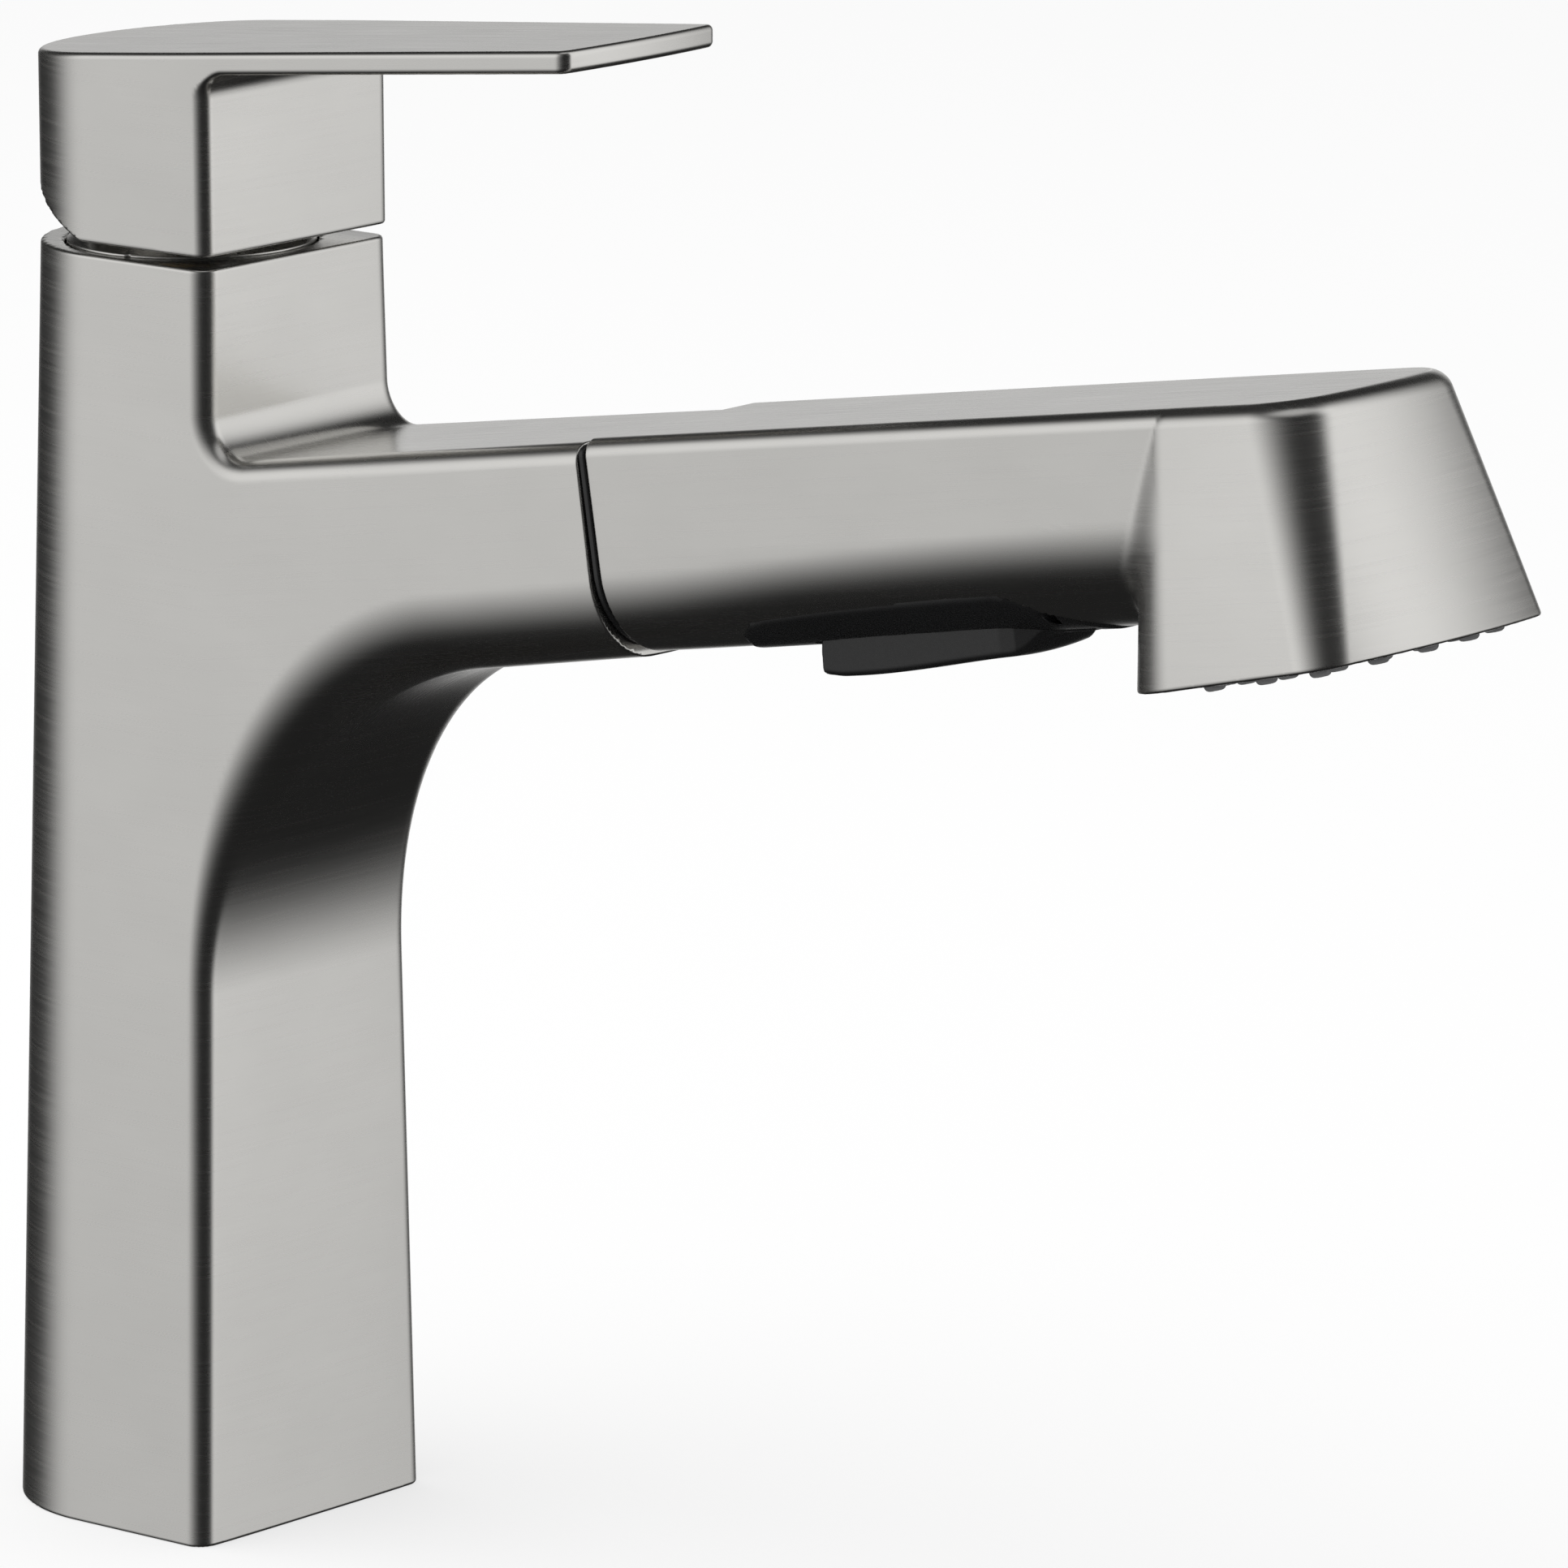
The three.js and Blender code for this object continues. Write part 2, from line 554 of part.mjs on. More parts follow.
// ---------- Spray hose ----------
class HosePath extends THREE.Curve {
  constructor() {
    super();
    this.start = FIT;
    const axisAtColumn = DOCK_Z - DOCK_X * Math.tan(ARM_ANGLE);
    const reach = HOSE_X + HOSE_BEND * (1 - sinArm);
    this.bendZ = axisAtColumn + reach * Math.tan(ARM_ANGLE) - HOSE_BEND * cosArm;
    this.riser = this.bendZ - this.start;
    this.bend = HOSE_BEND * (Math.PI / 2 - ARM_ANGLE);
    const [endX] = armPoint(-NECK_LENGTH - FIT, 0);
    this.run = (endX - reach) / cosArm;
    this.total = this.riser + this.bend + this.run;
  }

  getPoint(t, target = new THREE.Vector3()) {
    const along = t * this.total;
    if (along < this.riser) return target.set(HOSE_X, 0, this.start + along);
    const turn = Math.min((along - this.riser) / HOSE_BEND, Math.PI / 2 - ARM_ANGLE);
    const rest = Math.max(0, along - this.riser - this.bend);
    const x = HOSE_X + HOSE_BEND * (1 - Math.cos(turn)) + rest * cosArm;
    return target.set(x, 0, this.bendZ + HOSE_BEND * Math.sin(turn) + rest * sinArm);
  }
}

function sprayHose() {
  const ring = new THREE.Shape(ringArc(HOSE_RADIUS));
  return new THREE.ExtrudeGeometry(ring, { extrudePath: new HosePath(), steps: 34, bevelEnabled: false });
}

// ---------- Cartridge ----------
const sealTop = SEAT_Z + FIT + PORT_SEAL_HEIGHT;
const baseLow = sealTop + FIT;
const baseTop = COLUMN_HEIGHT - DISC_DROP;
const fixedLow = baseTop + FIT;
const fixedTop = fixedLow + FIXED_DISC_HEIGHT;
const movingLow = fixedTop + FIT;
const movingTop = movingLow + MOVING_DISC_HEIGHT;
const carrierLow = movingTop + FIT;
const carrierTop = carrierLow + CARRIER_HEIGHT;
const rotorLow = carrierTop + FIT;
const housingTop = rotorLow + ROTOR_FLANGE_HEIGHT + FIT + HOUSING_WALL;
const bonnetLow = housingTop + FIT;
const bonnetTop = bonnetLow + BONNET_NUT_HEIGHT;
const handleBottom = COLUMN_HEIGHT + HANDLE_GAP;
const ringTop = handleBottom + FIT * 2;
const rotorTop = ringTop - FIT;
const stemTip = TILT_AXIS_Z - STEM_TIP_DROP;
const leverTopZ = COLUMN_HEIGHT + LEVER_RISE;
const handleCavityTop = leverTopZ - HANDLE_CROWN;
const hubBottom = handleCavityTop - HANDLE_HUB_HEIGHT;
const setScrewZ = hubBottom + SET_SCREW_RISE;
const stemTop = handleCavityTop - STEM_HEAD_ROOM;
const housingRadius = SEAT_RADIUS - FIT;

function portDisc(radius, low, high, portRadius) {
  const ports = tubePlaces.map(({ x, y }) =>
    solid(cylinder(portRadius, low - CUT, high + CUT, 12).translate(x, y, 0)));
  return cut(solid(cylinder(radius, low, high, 36)), ...ports);
}

const cartridgeHousing = () => solid(revolve([
  [housingRadius - HOUSING_WALL, fixedLow],
  [housingRadius, fixedLow],
  [housingRadius, housingTop],
  [ROTOR_NECK_RADIUS + FIT, housingTop],
  [ROTOR_NECK_RADIUS + FIT, housingTop - HOUSING_WALL],
  [housingRadius - HOUSING_WALL, housingTop - HOUSING_WALL],
], 36));

// Slot through the rotor, in which the stem tilts
const stemSlot = () =>
  solid(box(-STEM_SLOT_REACH, STEM_SLOT_REACH, -STEM_HALF - FIT, STEM_HALF + FIT, rotorLow - CUT, rotorTop + CUT));

function cartridgeRotor() {
  const turned = solid(revolve([
    [0, rotorLow],
    [ROTOR_RADIUS, rotorLow],
    [ROTOR_RADIUS, rotorLow + ROTOR_FLANGE_HEIGHT],
    [ROTOR_NECK_RADIUS, rotorLow + ROTOR_FLANGE_HEIGHT],
    [ROTOR_NECK_RADIUS, rotorTop],
    [0, rotorTop],
  ], 36));
  const pinHole = alongY(cylinder(STEM_PIN_RADIUS + RUN, -ROTOR_RADIUS - CUT, ROTOR_RADIUS + CUT, 16));
  return cut(turned, stemSlot(), solid(pinHole.translate(0, 0, TILT_AXIS_Z)));
}

const stemPin = () =>
  alongY(cylinder(STEM_PIN_RADIUS, -ROTOR_NECK_RADIUS + FIT, ROTOR_NECK_RADIUS - FIT, 16))
    .translate(0, 0, TILT_AXIS_Z);

function cartridgeStem() {
  const tip = STEM_HALF * 0.7;
  const shaft = solid(box(-STEM_HALF, STEM_HALF, -STEM_HALF, STEM_HALF, TILT_AXIS_Z - STEM_HALF, stemTop));
  const finger = solid(box(-tip, tip, -tip, tip, stemTip, TILT_AXIS_Z));
  const hole = alongY(cylinder(STEM_PIN_RADIUS + RUN, -STEM_HALF - CUT, STEM_HALF + CUT, 16));
  return cut(join(shaft, finger), solid(hole.translate(0, 0, TILT_AXIS_Z)));
}

// The recess under the moving disc joins the ports it lies over
function movingDisc() {
  const half = MIXING_RECESS;
  const recess = box(-half, half, -half, half, movingLow - CUT, movingLow + MIXING_DEPTH);
  return cut(solid(cylinder(MOVING_DISC_RADIUS, movingLow, movingTop, 36)), solid(recess));
}

function discCarrier() {
  const tip = STEM_HALF * 0.7 + FIT;
  const pocket = box(-tip, tip, -tip, tip, stemTip - FIT * 2, carrierTop + CUT);
  return cut(solid(cylinder(MOVING_DISC_RADIUS, carrierLow, carrierTop, 36)), solid(pocket));
}

const bonnetNut = () =>
  solid(tube(housingRadius, ROTOR_NECK_RADIUS + BONNET_WALL, bonnetLow, bonnetTop, 36));

// Stops the rotor's swing at the hottest setting
const limitRing = () =>
  solid(tube(ROTOR_NECK_RADIUS + BONNET_WALL - FIT, ROTOR_NECK_RADIUS + FIT, bonnetLow, bonnetTop - 1, 24));

const bonnetRing = () => solid(revolve([
  [ROTOR_NECK_RADIUS + BONNET_WALL, bonnetTop + FIT],
  [housingRadius, bonnetTop + FIT],
  [housingRadius, COLUMN_HEIGHT + FIT],
  [housingRadius - BONNET_WALL, ringTop],
  [ROTOR_NECK_RADIUS + BONNET_WALL, ringTop],
], 48));

// ---------- Handle ----------
// Plan of the slab that makes the lever and the top of the block, in the lever's own plane
function leverShape() {
  const shape = new THREE.Shape();
  const half = BLOCK_HALF_WIDTH;
  const bulge = LEVER_END_RADIUS - Math.sqrt(LEVER_END_RADIUS ** 2 - LEVER_END_HALF ** 2);
  const end = LEVER_END_X / Math.cos(LEVER_ANGLE);
  const meet = Math.asin(LEVER_END_HALF / LEVER_END_RADIUS);
  shape.absarc(BLOCK_BACK_CENTRE, 0, half, Math.PI / 2, 1.5 * Math.PI, false);
  shape.lineTo(end - bulge - LEVER_CORNER, -LEVER_END_HALF);
  shape.quadraticCurveTo(end - bulge, -LEVER_END_HALF, end - bulge * 0.9, -LEVER_END_HALF + LEVER_CORNER);
  shape.absarc(end - LEVER_END_RADIUS, 0, LEVER_END_RADIUS, -meet * 0.8, meet * 0.8, false);
  shape.lineTo(end - bulge * 0.9, LEVER_END_HALF - LEVER_CORNER);
  shape.quadraticCurveTo(end - bulge, LEVER_END_HALF, end - bulge - LEVER_CORNER, LEVER_END_HALF);
  return shape;
}

function leverSlab() {
  const options = {
    depth: LEVER_THICKNESS - 2 * LEVER_EDGE,
    curveSegments: 10,
    bevelSize: LEVER_EDGE,
    bevelThickness: LEVER_EDGE,
    bevelOffset: -LEVER_EDGE,
    bevelSegments: 2,
  };
  return new THREE.ExtrudeGeometry(leverShape(), options)
    .translate(0, 0, LEVER_EDGE - LEVER_THICKNESS)
    .rotateY(-LEVER_ANGLE)
    .translate(0, 0, leverTopZ);
}

const leverTopAt = (x) => leverTopZ + x * Math.tan(LEVER_ANGLE);

function handleBlock() {
  const plan = dPlan(BLOCK_FRONT, BLOCK_HALF_WIDTH - SKIN, BLOCK_BACK_CENTRE, BLOCK_EDGE);
  const stock = loft([lifted(plan, handleBottom), lifted(plan, leverTopAt(BLOCK_FRONT) + CUT)]);
  const reach = 3 * BLOCK_FRONT;
  const above = (x) => leverTopAt(x) - LEVER_THICKNESS / 2;
  const lid = sidePlate([
    [-reach, above(-reach)],
    [reach, above(reach)],
    [reach, above(reach) + reach],
    [-reach, above(reach) + reach],
  ], reach);
  const drop = (x) => handleBottom + (BACK_CUT_X - x) * Math.tan(BACK_CUT_ANGLE);
  const backCut = sidePlate([
    [-reach, drop(-reach)],
    [-reach, handleBottom - reach],
    [BACK_CUT_X + CUT, handleBottom - reach],
    [BACK_CUT_X + CUT, drop(BACK_CUT_X + CUT)],
  ], reach);
  return cut(solid(stock), solid(lid), solid(backCut));
}

// The small curve between the block's front and the lever's underside
function leverCurve() {
  const shape = new THREE.Shape();
  const under = (x) => leverTopAt(x) - LEVER_THICKNESS;
  const r = LEVER_FILLET;
  const centreX = BLOCK_FRONT + r;
  const centreZ = under(centreX) - r / Math.cos(LEVER_ANGLE);
  const inside = BLOCK_FRONT - BLOCK_EDGE;
  shape.moveTo(inside, centreZ);
  shape.lineTo(BLOCK_FRONT, centreZ);
  shape.absarc(centreX, centreZ, r, Math.PI, Math.PI / 2 + LEVER_ANGLE, true);
  shape.lineTo(centreX, under(centreX) + LEVER_THICKNESS / 2);
  shape.lineTo(inside, under(inside) + LEVER_THICKNESS / 2);
  return sidePlate(shape, BLOCK_HALF_WIDTH - BLOCK_EDGE / 2);
}

function handle() {
  const cavity = solid(cylinder(HANDLE_CAVITY_RADIUS, handleBottom - CUT, handleCavityTop, 48));
  const hub = solid(cylinder(HANDLE_HUB_RADIUS, hubBottom, handleCavityTop + CUT, 24));
  const grip = STEM_HALF + FIT;
  const socket = solid(box(-grip, grip, -grip, grip, hubBottom - CUT, stemTop + FIT));
  const screwHole = alongX(cylinder(SET_SCREW_RADIUS + RUN, -BLOCK_HALF_WIDTH * 2, 0, 16));
  const outer = join(handleBlock(), solid(leverSlab()), solid(leverCurve()));
  const hollow = join(cut(outer, cavity), hub);
  return cut(hollow, socket, solid(screwHole.translate(0, 0, setScrewZ)));
}

const handleBack = BLOCK_BACK_CENTRE - BLOCK_HALF_WIDTH;
const setScrew = () =>
  solid(alongX(cylinder(SET_SCREW_RADIUS, -HANDLE_HUB_RADIUS - 1, -STEM_HALF - FIT, 12)).translate(0, 0, setScrewZ));
const setScrewPlug = () =>
  solid(alongX(cylinder(SET_SCREW_RADIUS - FIT, handleBack + FIT, handleBack + FIT + SET_SCREW_PLUG, 12))
    .translate(0, 0, setScrewZ));

// ---------- Wand ----------
const barAt = (s, inset) => {
  const edge = Math.max(wandLowEdge(s) - inset, 1);
  const top = WAND_HALF_HEIGHT - inset;
  const section = barSection(
    WAND_HALF_WIDTH - inset, top, wandBottom(s) + inset, Math.max(WAND_TOP_EDGE - inset, 0.8), edge, WAND_BELLY);
  return section.map((p) => new THREE.Vector3(s, p.x, p.y));
};

function barSolid(inset, start) {
  const places = [start, ...[0.3, 0.55, 0.8, 1].map((share) => share * HEAD_BACK_TOP)];
  const rows = places.map((s) => barAt(s, inset));
  const last = barAt(WAND_END, inset + WAND_TOP_EDGE / 2);
  return solid(loft([...rows, last]));
}

// One level of the head: share 0 is the spray face's rim and 1 is the top plane
function headLevel(share, drop, edgeInset, wall) {
  const mix = (low, high) => low + (high - low) * share;
  const inset = edgeInset + wall;
  const corner = mix(HEAD_CORNER_LOW, HEAD_CORNER_TOP);
  const plan = headPlan(
    mix(HEAD_BACK_LOW, HEAD_BACK_TOP) + inset,
    mix(HEAD_NOSE_LOW, HEAD_NOSE_TOP) - inset,
    mix(HEAD_REAR_HALF, WAND_HALF_WIDTH + SKIN) - inset,
    mix(HEAD_NOSE_HALF, WAND_HALF_WIDTH + SKIN) - inset,
    corner - Math.min(inset, corner / 2),
  );
  const top = WAND_HALF_HEIGHT + SKIN - wall;
  return plan.map((p) => new THREE.Vector3(p.x, p.y, THREE.MathUtils.lerp(faceLine(p.x), top, share) - drop));
}

function headSolid(wall) {
  const edge = WAND_TOP_EDGE;
  const rise = WAND_HALF_HEIGHT + HEAD_DROP;
  const below = wall > 0 ? CUT : 0;
  return solid(loft([
    headLevel(0, below, 0, wall),
    headLevel(0.5, 0, 0, wall),
    headLevel(1 - edge / rise, 0, 0, wall),
    headLevel(1, edge * 0.3, edge * 0.3, wall),
    headLevel(1, 0, edge, wall),
  ]));
}

// Upright prism over a plan outline given as [s, half width] points, reaching up from below
function planPrism(side, top) {
  const outline = [...side, ...side.map(([s, y]) => [s, -y]).reverse()];
  const shape = new THREE.Shape(outline.map(([s, y]) => new THREE.Vector2(s, y)));
  const low = -3 * WAND_HALF_HEIGHT;
  const options = { depth: top - low, bevelEnabled: false };
  return solid(new THREE.ExtrudeGeometry(shape, options).translate(0, 0, low));
}

// The panel's outline, grown by a gap all round
function panelPrism(gap) {
  const middle = (PANEL_SIDE[0][0] + PANEL_SIDE.at(-1)[0]) / 2;
  const grown = PANEL_SIDE.map(([s, y]) => [s + Math.sign(s - middle) * gap, y + gap]);
  return planPrism(grown, -WAND_HALF_HEIGHT / 3);
}

function triggerPrism(gap) {
  return planPrism([
    [TRIGGER_START - gap, TRIGGER_HALF_WIDTH + gap],
    [TRIGGER_TAPER_START, TRIGGER_HALF_WIDTH + gap],
    [TRIGGER_PIN_S - 4, TRIGGER_HINGE_HALF + gap],
    [TRIGGER_END + gap, TRIGGER_HINGE_HALF + gap],
  ], WAND_HALF_HEIGHT / 2);
}

const innerBar = () => barSolid(WAND_WALL, -CUT);
const wandSkin = () => cut(join(barSolid(0, 0), headSolid(0)), innerBar(), headSolid(WAND_WALL));

const wandShell = () => cut(wandSkin(), panelPrism(FIT));

const lugInner = TRIGGER_HINGE_HALF + FIT;
const lugOuter = lugInner + 1.5;

function switchPanel() {
  const skin = cut(barSolid(0, 0), innerBar()).intersect(panelPrism(0));
  const floor = wandBottom(TRIGGER_PIN_S) + WAND_WALL;
  const lugs = [-1, 1].map((side) => {
    const [y0, y1] = side < 0 ? [-lugOuter, -lugInner] : [lugInner, lugOuter];
    return solid(box(TRIGGER_PIN_S - 3, TRIGGER_PIN_S + 3, y0, y1, floor - 1.4, TRIGGER_PIN_H + 3));
  });
  const pinHole = alongY(cylinder(TRIGGER_PIN_RADIUS + RUN, -lugOuter - CUT, lugOuter + CUT, 12))
    .translate(TRIGGER_PIN_S, 0, TRIGGER_PIN_H);
  return cut(join(skin, ...lugs), triggerPrism(FIT), solid(pinHole));
}

const triggerInner = wandBottom(TRIGGER_START) + WAND_WALL;

function triggerLever() {
  const under = (s, extra = 0) => wandBottom(s) - extra;
  const profile = [
    [TRIGGER_START, triggerInner],
    [TRIGGER_START, under(TRIGGER_START, 1)],
    [TRIGGER_START + 0.6, under(TRIGGER_START, TRIGGER_DROP - 1)],
    [TRIGGER_START + 2, under(TRIGGER_START, TRIGGER_DROP + 0.4)],
    [TRIGGER_START + TRIGGER_PAD, under(TRIGGER_START + TRIGGER_PAD, TRIGGER_DROP - 1.4)],
    [TRIGGER_END - 11, under(TRIGGER_END - 11, TRIGGER_DROP - 1.9)],
    [TRIGGER_END - 5.6, under(TRIGGER_END, TRIGGER_DROP - 2.7)],
    [TRIGGER_END - 3.9, under(TRIGGER_END, 0.4)],
    [TRIGGER_END, under(TRIGGER_END, 0.2)],
    [TRIGGER_END, triggerInner + 0.5],
    [TRIGGER_END - 1.5, TRIGGER_PIN_H + TRIGGER_PIN_RADIUS + 1.2],
    [TRIGGER_PIN_S - 2.5, TRIGGER_PIN_H + TRIGGER_PIN_RADIUS + 1.2],
    [TRIGGER_PIN_S - 5, triggerInner],
  ];
  const hole = alongY(cylinder(TRIGGER_PIN_RADIUS + RUN, -TRIGGER_HALF_WIDTH - CUT, TRIGGER_HALF_WIDTH + CUT, 12))
    .translate(TRIGGER_PIN_S, 0, TRIGGER_PIN_H);
  return cut(solid(sidePlate(profile, TRIGGER_HALF_WIDTH, 0.5)).intersect(triggerPrism(0)), solid(hole));
}

const triggerPin = () =>
  solid(alongY(cylinder(TRIGGER_PIN_RADIUS, -lugOuter + 1, lugOuter - 1, 12))
    .translate(TRIGGER_PIN_S, 0, TRIGGER_PIN_H));

// Diverter between the trigger and the spray chamber
const housingLow = triggerInner + DIVERTER_LIFT;
const housingHigh = housingLow + DIVERTER_HEIGHT;
const housingStart = SPRING_S - DIVERTER_END_WALL;
const housingEnd = TRIGGER_PIN_S - DIVERTER_END_WALL;
const waterwayH = housingLow + WATERWAY_RISE;
const waterwayOuter = WATERWAY_BORE + WATERWAY_WALL;

function diverterHousing() {
  const bore = solid(cylinder(SPOOL_RADIUS + FIT, housingLow - CUT, housingHigh - 2, 16).translate(SPOOL_S, 0, 0));
  const way = solid(
    alongX(cylinder(WATERWAY_BORE, housingStart - CUT, housingEnd + CUT, 12)).translate(0, 0, waterwayH));
  const half = DIVERTER_HALF_WIDTH;
  return cut(solid(box(housingStart, housingEnd, -half, half, housingLow, housingHigh)), bore, way);
}

const diverterSpool = () => solid(revolve([
  [0, triggerInner + FIT],
  [SPOOL_RADIUS - 1, triggerInner + FIT],
  [SPOOL_RADIUS, triggerInner + FIT + 1],
  [SPOOL_RADIUS, housingLow + 3],
  [SPOOL_RADIUS - 1, housingLow + 3],
  [SPOOL_RADIUS - 1, housingLow + 4.2],
  [SPOOL_RADIUS, housingLow + 4.2],
  [SPOOL_RADIUS, housingHigh - 4.5],
  [0, housingHigh - 4.5],
], 16).translate(SPOOL_S, 0, 0));

const spoolSeal = () =>
  solid(tube(SPOOL_RADIUS + 0.1, SPOOL_RADIUS - 0.8, housingLow + 3.2, housingLow + 4, 16).translate(SPOOL_S, 0, 0));

class SpringPath extends THREE.Curve {
  getPoint(t, target = new THREE.Vector3()) {
    const angle = 2 * Math.PI * SPRING_TURNS * t;
    const low = triggerInner + FIT + SPRING_WIRE;
    const high = housingLow - FIT - SPRING_WIRE;
    const z = THREE.MathUtils.lerp(low, high, t);
    return target.set(SPRING_S + SPRING_RADIUS * Math.cos(angle), SPRING_RADIUS * Math.sin(angle), z);
  }
}

function triggerSpring() {
  const wire = new THREE.Shape(arc(0, 0, SPRING_WIRE, 0, 1.5 * Math.PI, 3));
  return solid(new THREE.ExtrudeGeometry(wire, { extrudePath: new SpringPath(), steps: 40, bevelEnabled: false }));
}

// Flat plate across the bar's section between two places along the arm's axis
function crossPlate(inset, from, to) {
  const section = barAt(0, inset);
  const moved = (s) => section.map((p) => new THREE.Vector3(s, p.y, p.z));
  return solid(loft([moved(from), moved(to)]));
}

const neckRadius = SOCKET_RADIUS - NECK_CLEARANCE;
const flangeStart = 0.4;
const flangeEnd = 3;
const neckEnd = NECK_REACH;

function wandNeck() {
  const spigot = alongX(revolve([
    [NECK_BORE, -NECK_LENGTH],
    [neckRadius - 1, -NECK_LENGTH],
    [neckRadius, -NECK_LENGTH + 2],
    [neckRadius, -10],
    [neckRadius - 1.4, -10],
    [neckRadius - 1.4, -7.6],
    [neckRadius, -7.6],
    [neckRadius, neckEnd],
    [NECK_BORE, neckEnd],
  ], 32));
  const flange = crossPlate(WAND_WALL + FIT, flangeStart, flangeEnd);
  const bore = solid(alongX(cylinder(NECK_BORE, -CUT, neckEnd, 32)));
  return join(solid(spigot), cut(flange, bore));
}

const dockSeal = () => solid(alongX(tube(neckRadius + 0.15, neckRadius - 1.1, -9.7, -7.9, 32)));
const socketOuter = SOCKET_RADIUS + SOCKET_WALL;

function dockCollar() {
  const sleeve = alongX(tube(socketOuter, SOCKET_RADIUS, -SOCKET_DEPTH, -FIT - 0.5, 32));
  const flange = crossPlate(COLLAR_RECESS, -ARM_END_GAP + FIT, -FIT);
  return join(solid(sleeve), cut(flange, solid(alongX(cylinder(SOCKET_RADIUS, -ARM_END_GAP - CUT, CUT, 32)))));
}

const hoseGuide = () =>
  solid(alongX(tube(socketOuter, HOSE_RADIUS + 1.5, -ARM_BORE_DEPTH + FIT, -ARM_BORE_DEPTH + FIT + GUIDE_LENGTH, 24)));

// Nut that screws the hose's end to the neck
function couplingNut() {
  const end = -NECK_LENGTH - FIT;
  const nut = alongX(cylinder(NUT_RADIUS, end - NUT_LENGTH, end, 6));
  return cut(solid(nut), solid(alongX(cylinder(HOSE_RADIUS + FIT, end - NUT_LENGTH - CUT, end + CUT, 16))));
}

const screenStart = -NECK_LENGTH + SCREEN_DEPTH;
const screenEnd = screenStart + SCREEN_THICKNESS;
const valveStart = screenEnd + 1;
const valveEnd = valveStart + CHECK_VALVE_LENGTH;

const checkValve = () => solid(alongX(revolve([
  [NECK_BORE / 4, valveStart],
  [NECK_BORE - FIT, valveStart],
  [NECK_BORE - FIT, valveEnd],
  [NECK_BORE / 2, valveEnd],
  [NECK_BORE / 2, valveStart + 3],
  [NECK_BORE / 4, valveStart + 3],
], 24)));

function inletScreen() {
  const disc = solid(alongX(cylinder(NECK_BORE - FIT, screenStart, screenEnd, 24)));
  const holes = [0, 60, 120, 180, 240, 300].map((degrees) => {
    const angle = THREE.MathUtils.degToRad(degrees);
    const hole = alongX(cylinder(0.9, screenStart - CUT, screenEnd + CUT, 8));
    return solid(hole.translate(0, 3.4 * Math.cos(angle), 3.4 * Math.sin(angle)));
  });
  return cut(disc, ...holes);
}

// Tube from the neck to the diverter, cranked to the diverter's height
function waterwayTube() {
  const path = new THREE.CatmullRomCurve3([
    new THREE.Vector3(neckEnd + FIT, 0, 0),
    new THREE.Vector3(neckEnd + 6, 0, 0),
    new THREE.Vector3(housingStart - 6, 0, waterwayH),
    new THREE.Vector3(housingStart - FIT, 0, waterwayH),
  ]);
  const ring = new THREE.Shape(ringArc(waterwayOuter));
  ring.holes.push(new THREE.Path(ringArc(WATERWAY_BORE)));
  return solid(new THREE.ExtrudeGeometry(ring, { extrudePath: path, steps: 10, bevelEnabled: false }));
}

// ---------- Spray head ----------
// Places a geometry made about the spray face's rim (z = 0, inside is +z) in the wand's frame
const FACE_CENTRE = 119.5;
const inHead = (geometry) =>
  geometry.rotateY(-HEAD_FACE_ANGLE).translate(FACE_CENTRE, 0, faceLine(FACE_CENTRE));

function facePlan(inset) {
  return headPlan(
    HEAD_BACK_LOW + inset + FACE_BACK_ROOM - FACE_CENTRE,
    HEAD_NOSE_LOW - inset - FACE_CENTRE,
    HEAD_REAR_HALF - inset,
    HEAD_NOSE_HALF - inset,
    FACE_CORNER,
  );
}

const faceSlab = (inset, low, high) => loft([lifted(facePlan(inset), low), lifted(facePlan(inset), high)]);

const nubPlaces = NUB_RINGS.flatMap(({ inset, count, first }) => {
  const ring = new THREE.Shape(facePlan(inset));
  ring.closePath();
  return Array.from({ length: count }, (_, i) => ring.getPoint((i + first) / count).toArray());
});

const faceInset = WAND_WALL + FIT + FACE_SIDE_ROOM;
const faceLow = FACE_RECESS;
const faceHigh = faceLow + FACE_THICKNESS;
const matLow = faceHigh + FIT;
const matHigh = matLow + MAT_THICKNESS;
const chamberLow = matHigh + FIT;
const chamberHigh = chamberLow + CHAMBER_HEIGHT;

function sprayFace() {
  const holes = nubPlaces.map(([x, y]) =>
    solid(inHead(cylinder(NUB_RADIUS + FIT / 2, faceLow - CUT, faceHigh + CUT, 8).translate(x, y, 0))));
  const centre = solid(inHead(cylinder(AERATOR_RADIUS + FIT, faceLow - CUT, faceHigh + CUT, 24)));
  return cut(solid(inHead(faceSlab(faceInset, faceLow, faceHigh))), centre, ...holes);
}

function nozzleMat() {
  const nubs = nubPlaces.map(([x, y]) => solid(inHead(revolve([
    [0, -NUB_REACH],
    [NUB_RADIUS - 0.6, -NUB_REACH],
    [NUB_RADIUS, 0.4 - NUB_REACH],
    [NUB_RADIUS, matLow + FIT],
    [0, matLow + FIT],
  ], 8).translate(x, y, 0))));
  const centre = solid(inHead(cylinder(AERATOR_RADIUS + FIT, matLow - CUT, matHigh + CUT, 24)));
  return cut(join(solid(inHead(faceSlab(faceInset + FIT, matLow, matHigh))), ...nubs), centre);
}

function aerator() {
  const body = tube(AERATOR_RADIUS, 2, FACE_RECESS / 2, chamberHigh - 2, 24);
  const screen = cylinder(2.4, faceLow, faceHigh, 16);
  return join(solid(inHead(body)), solid(inHead(screen)));
}

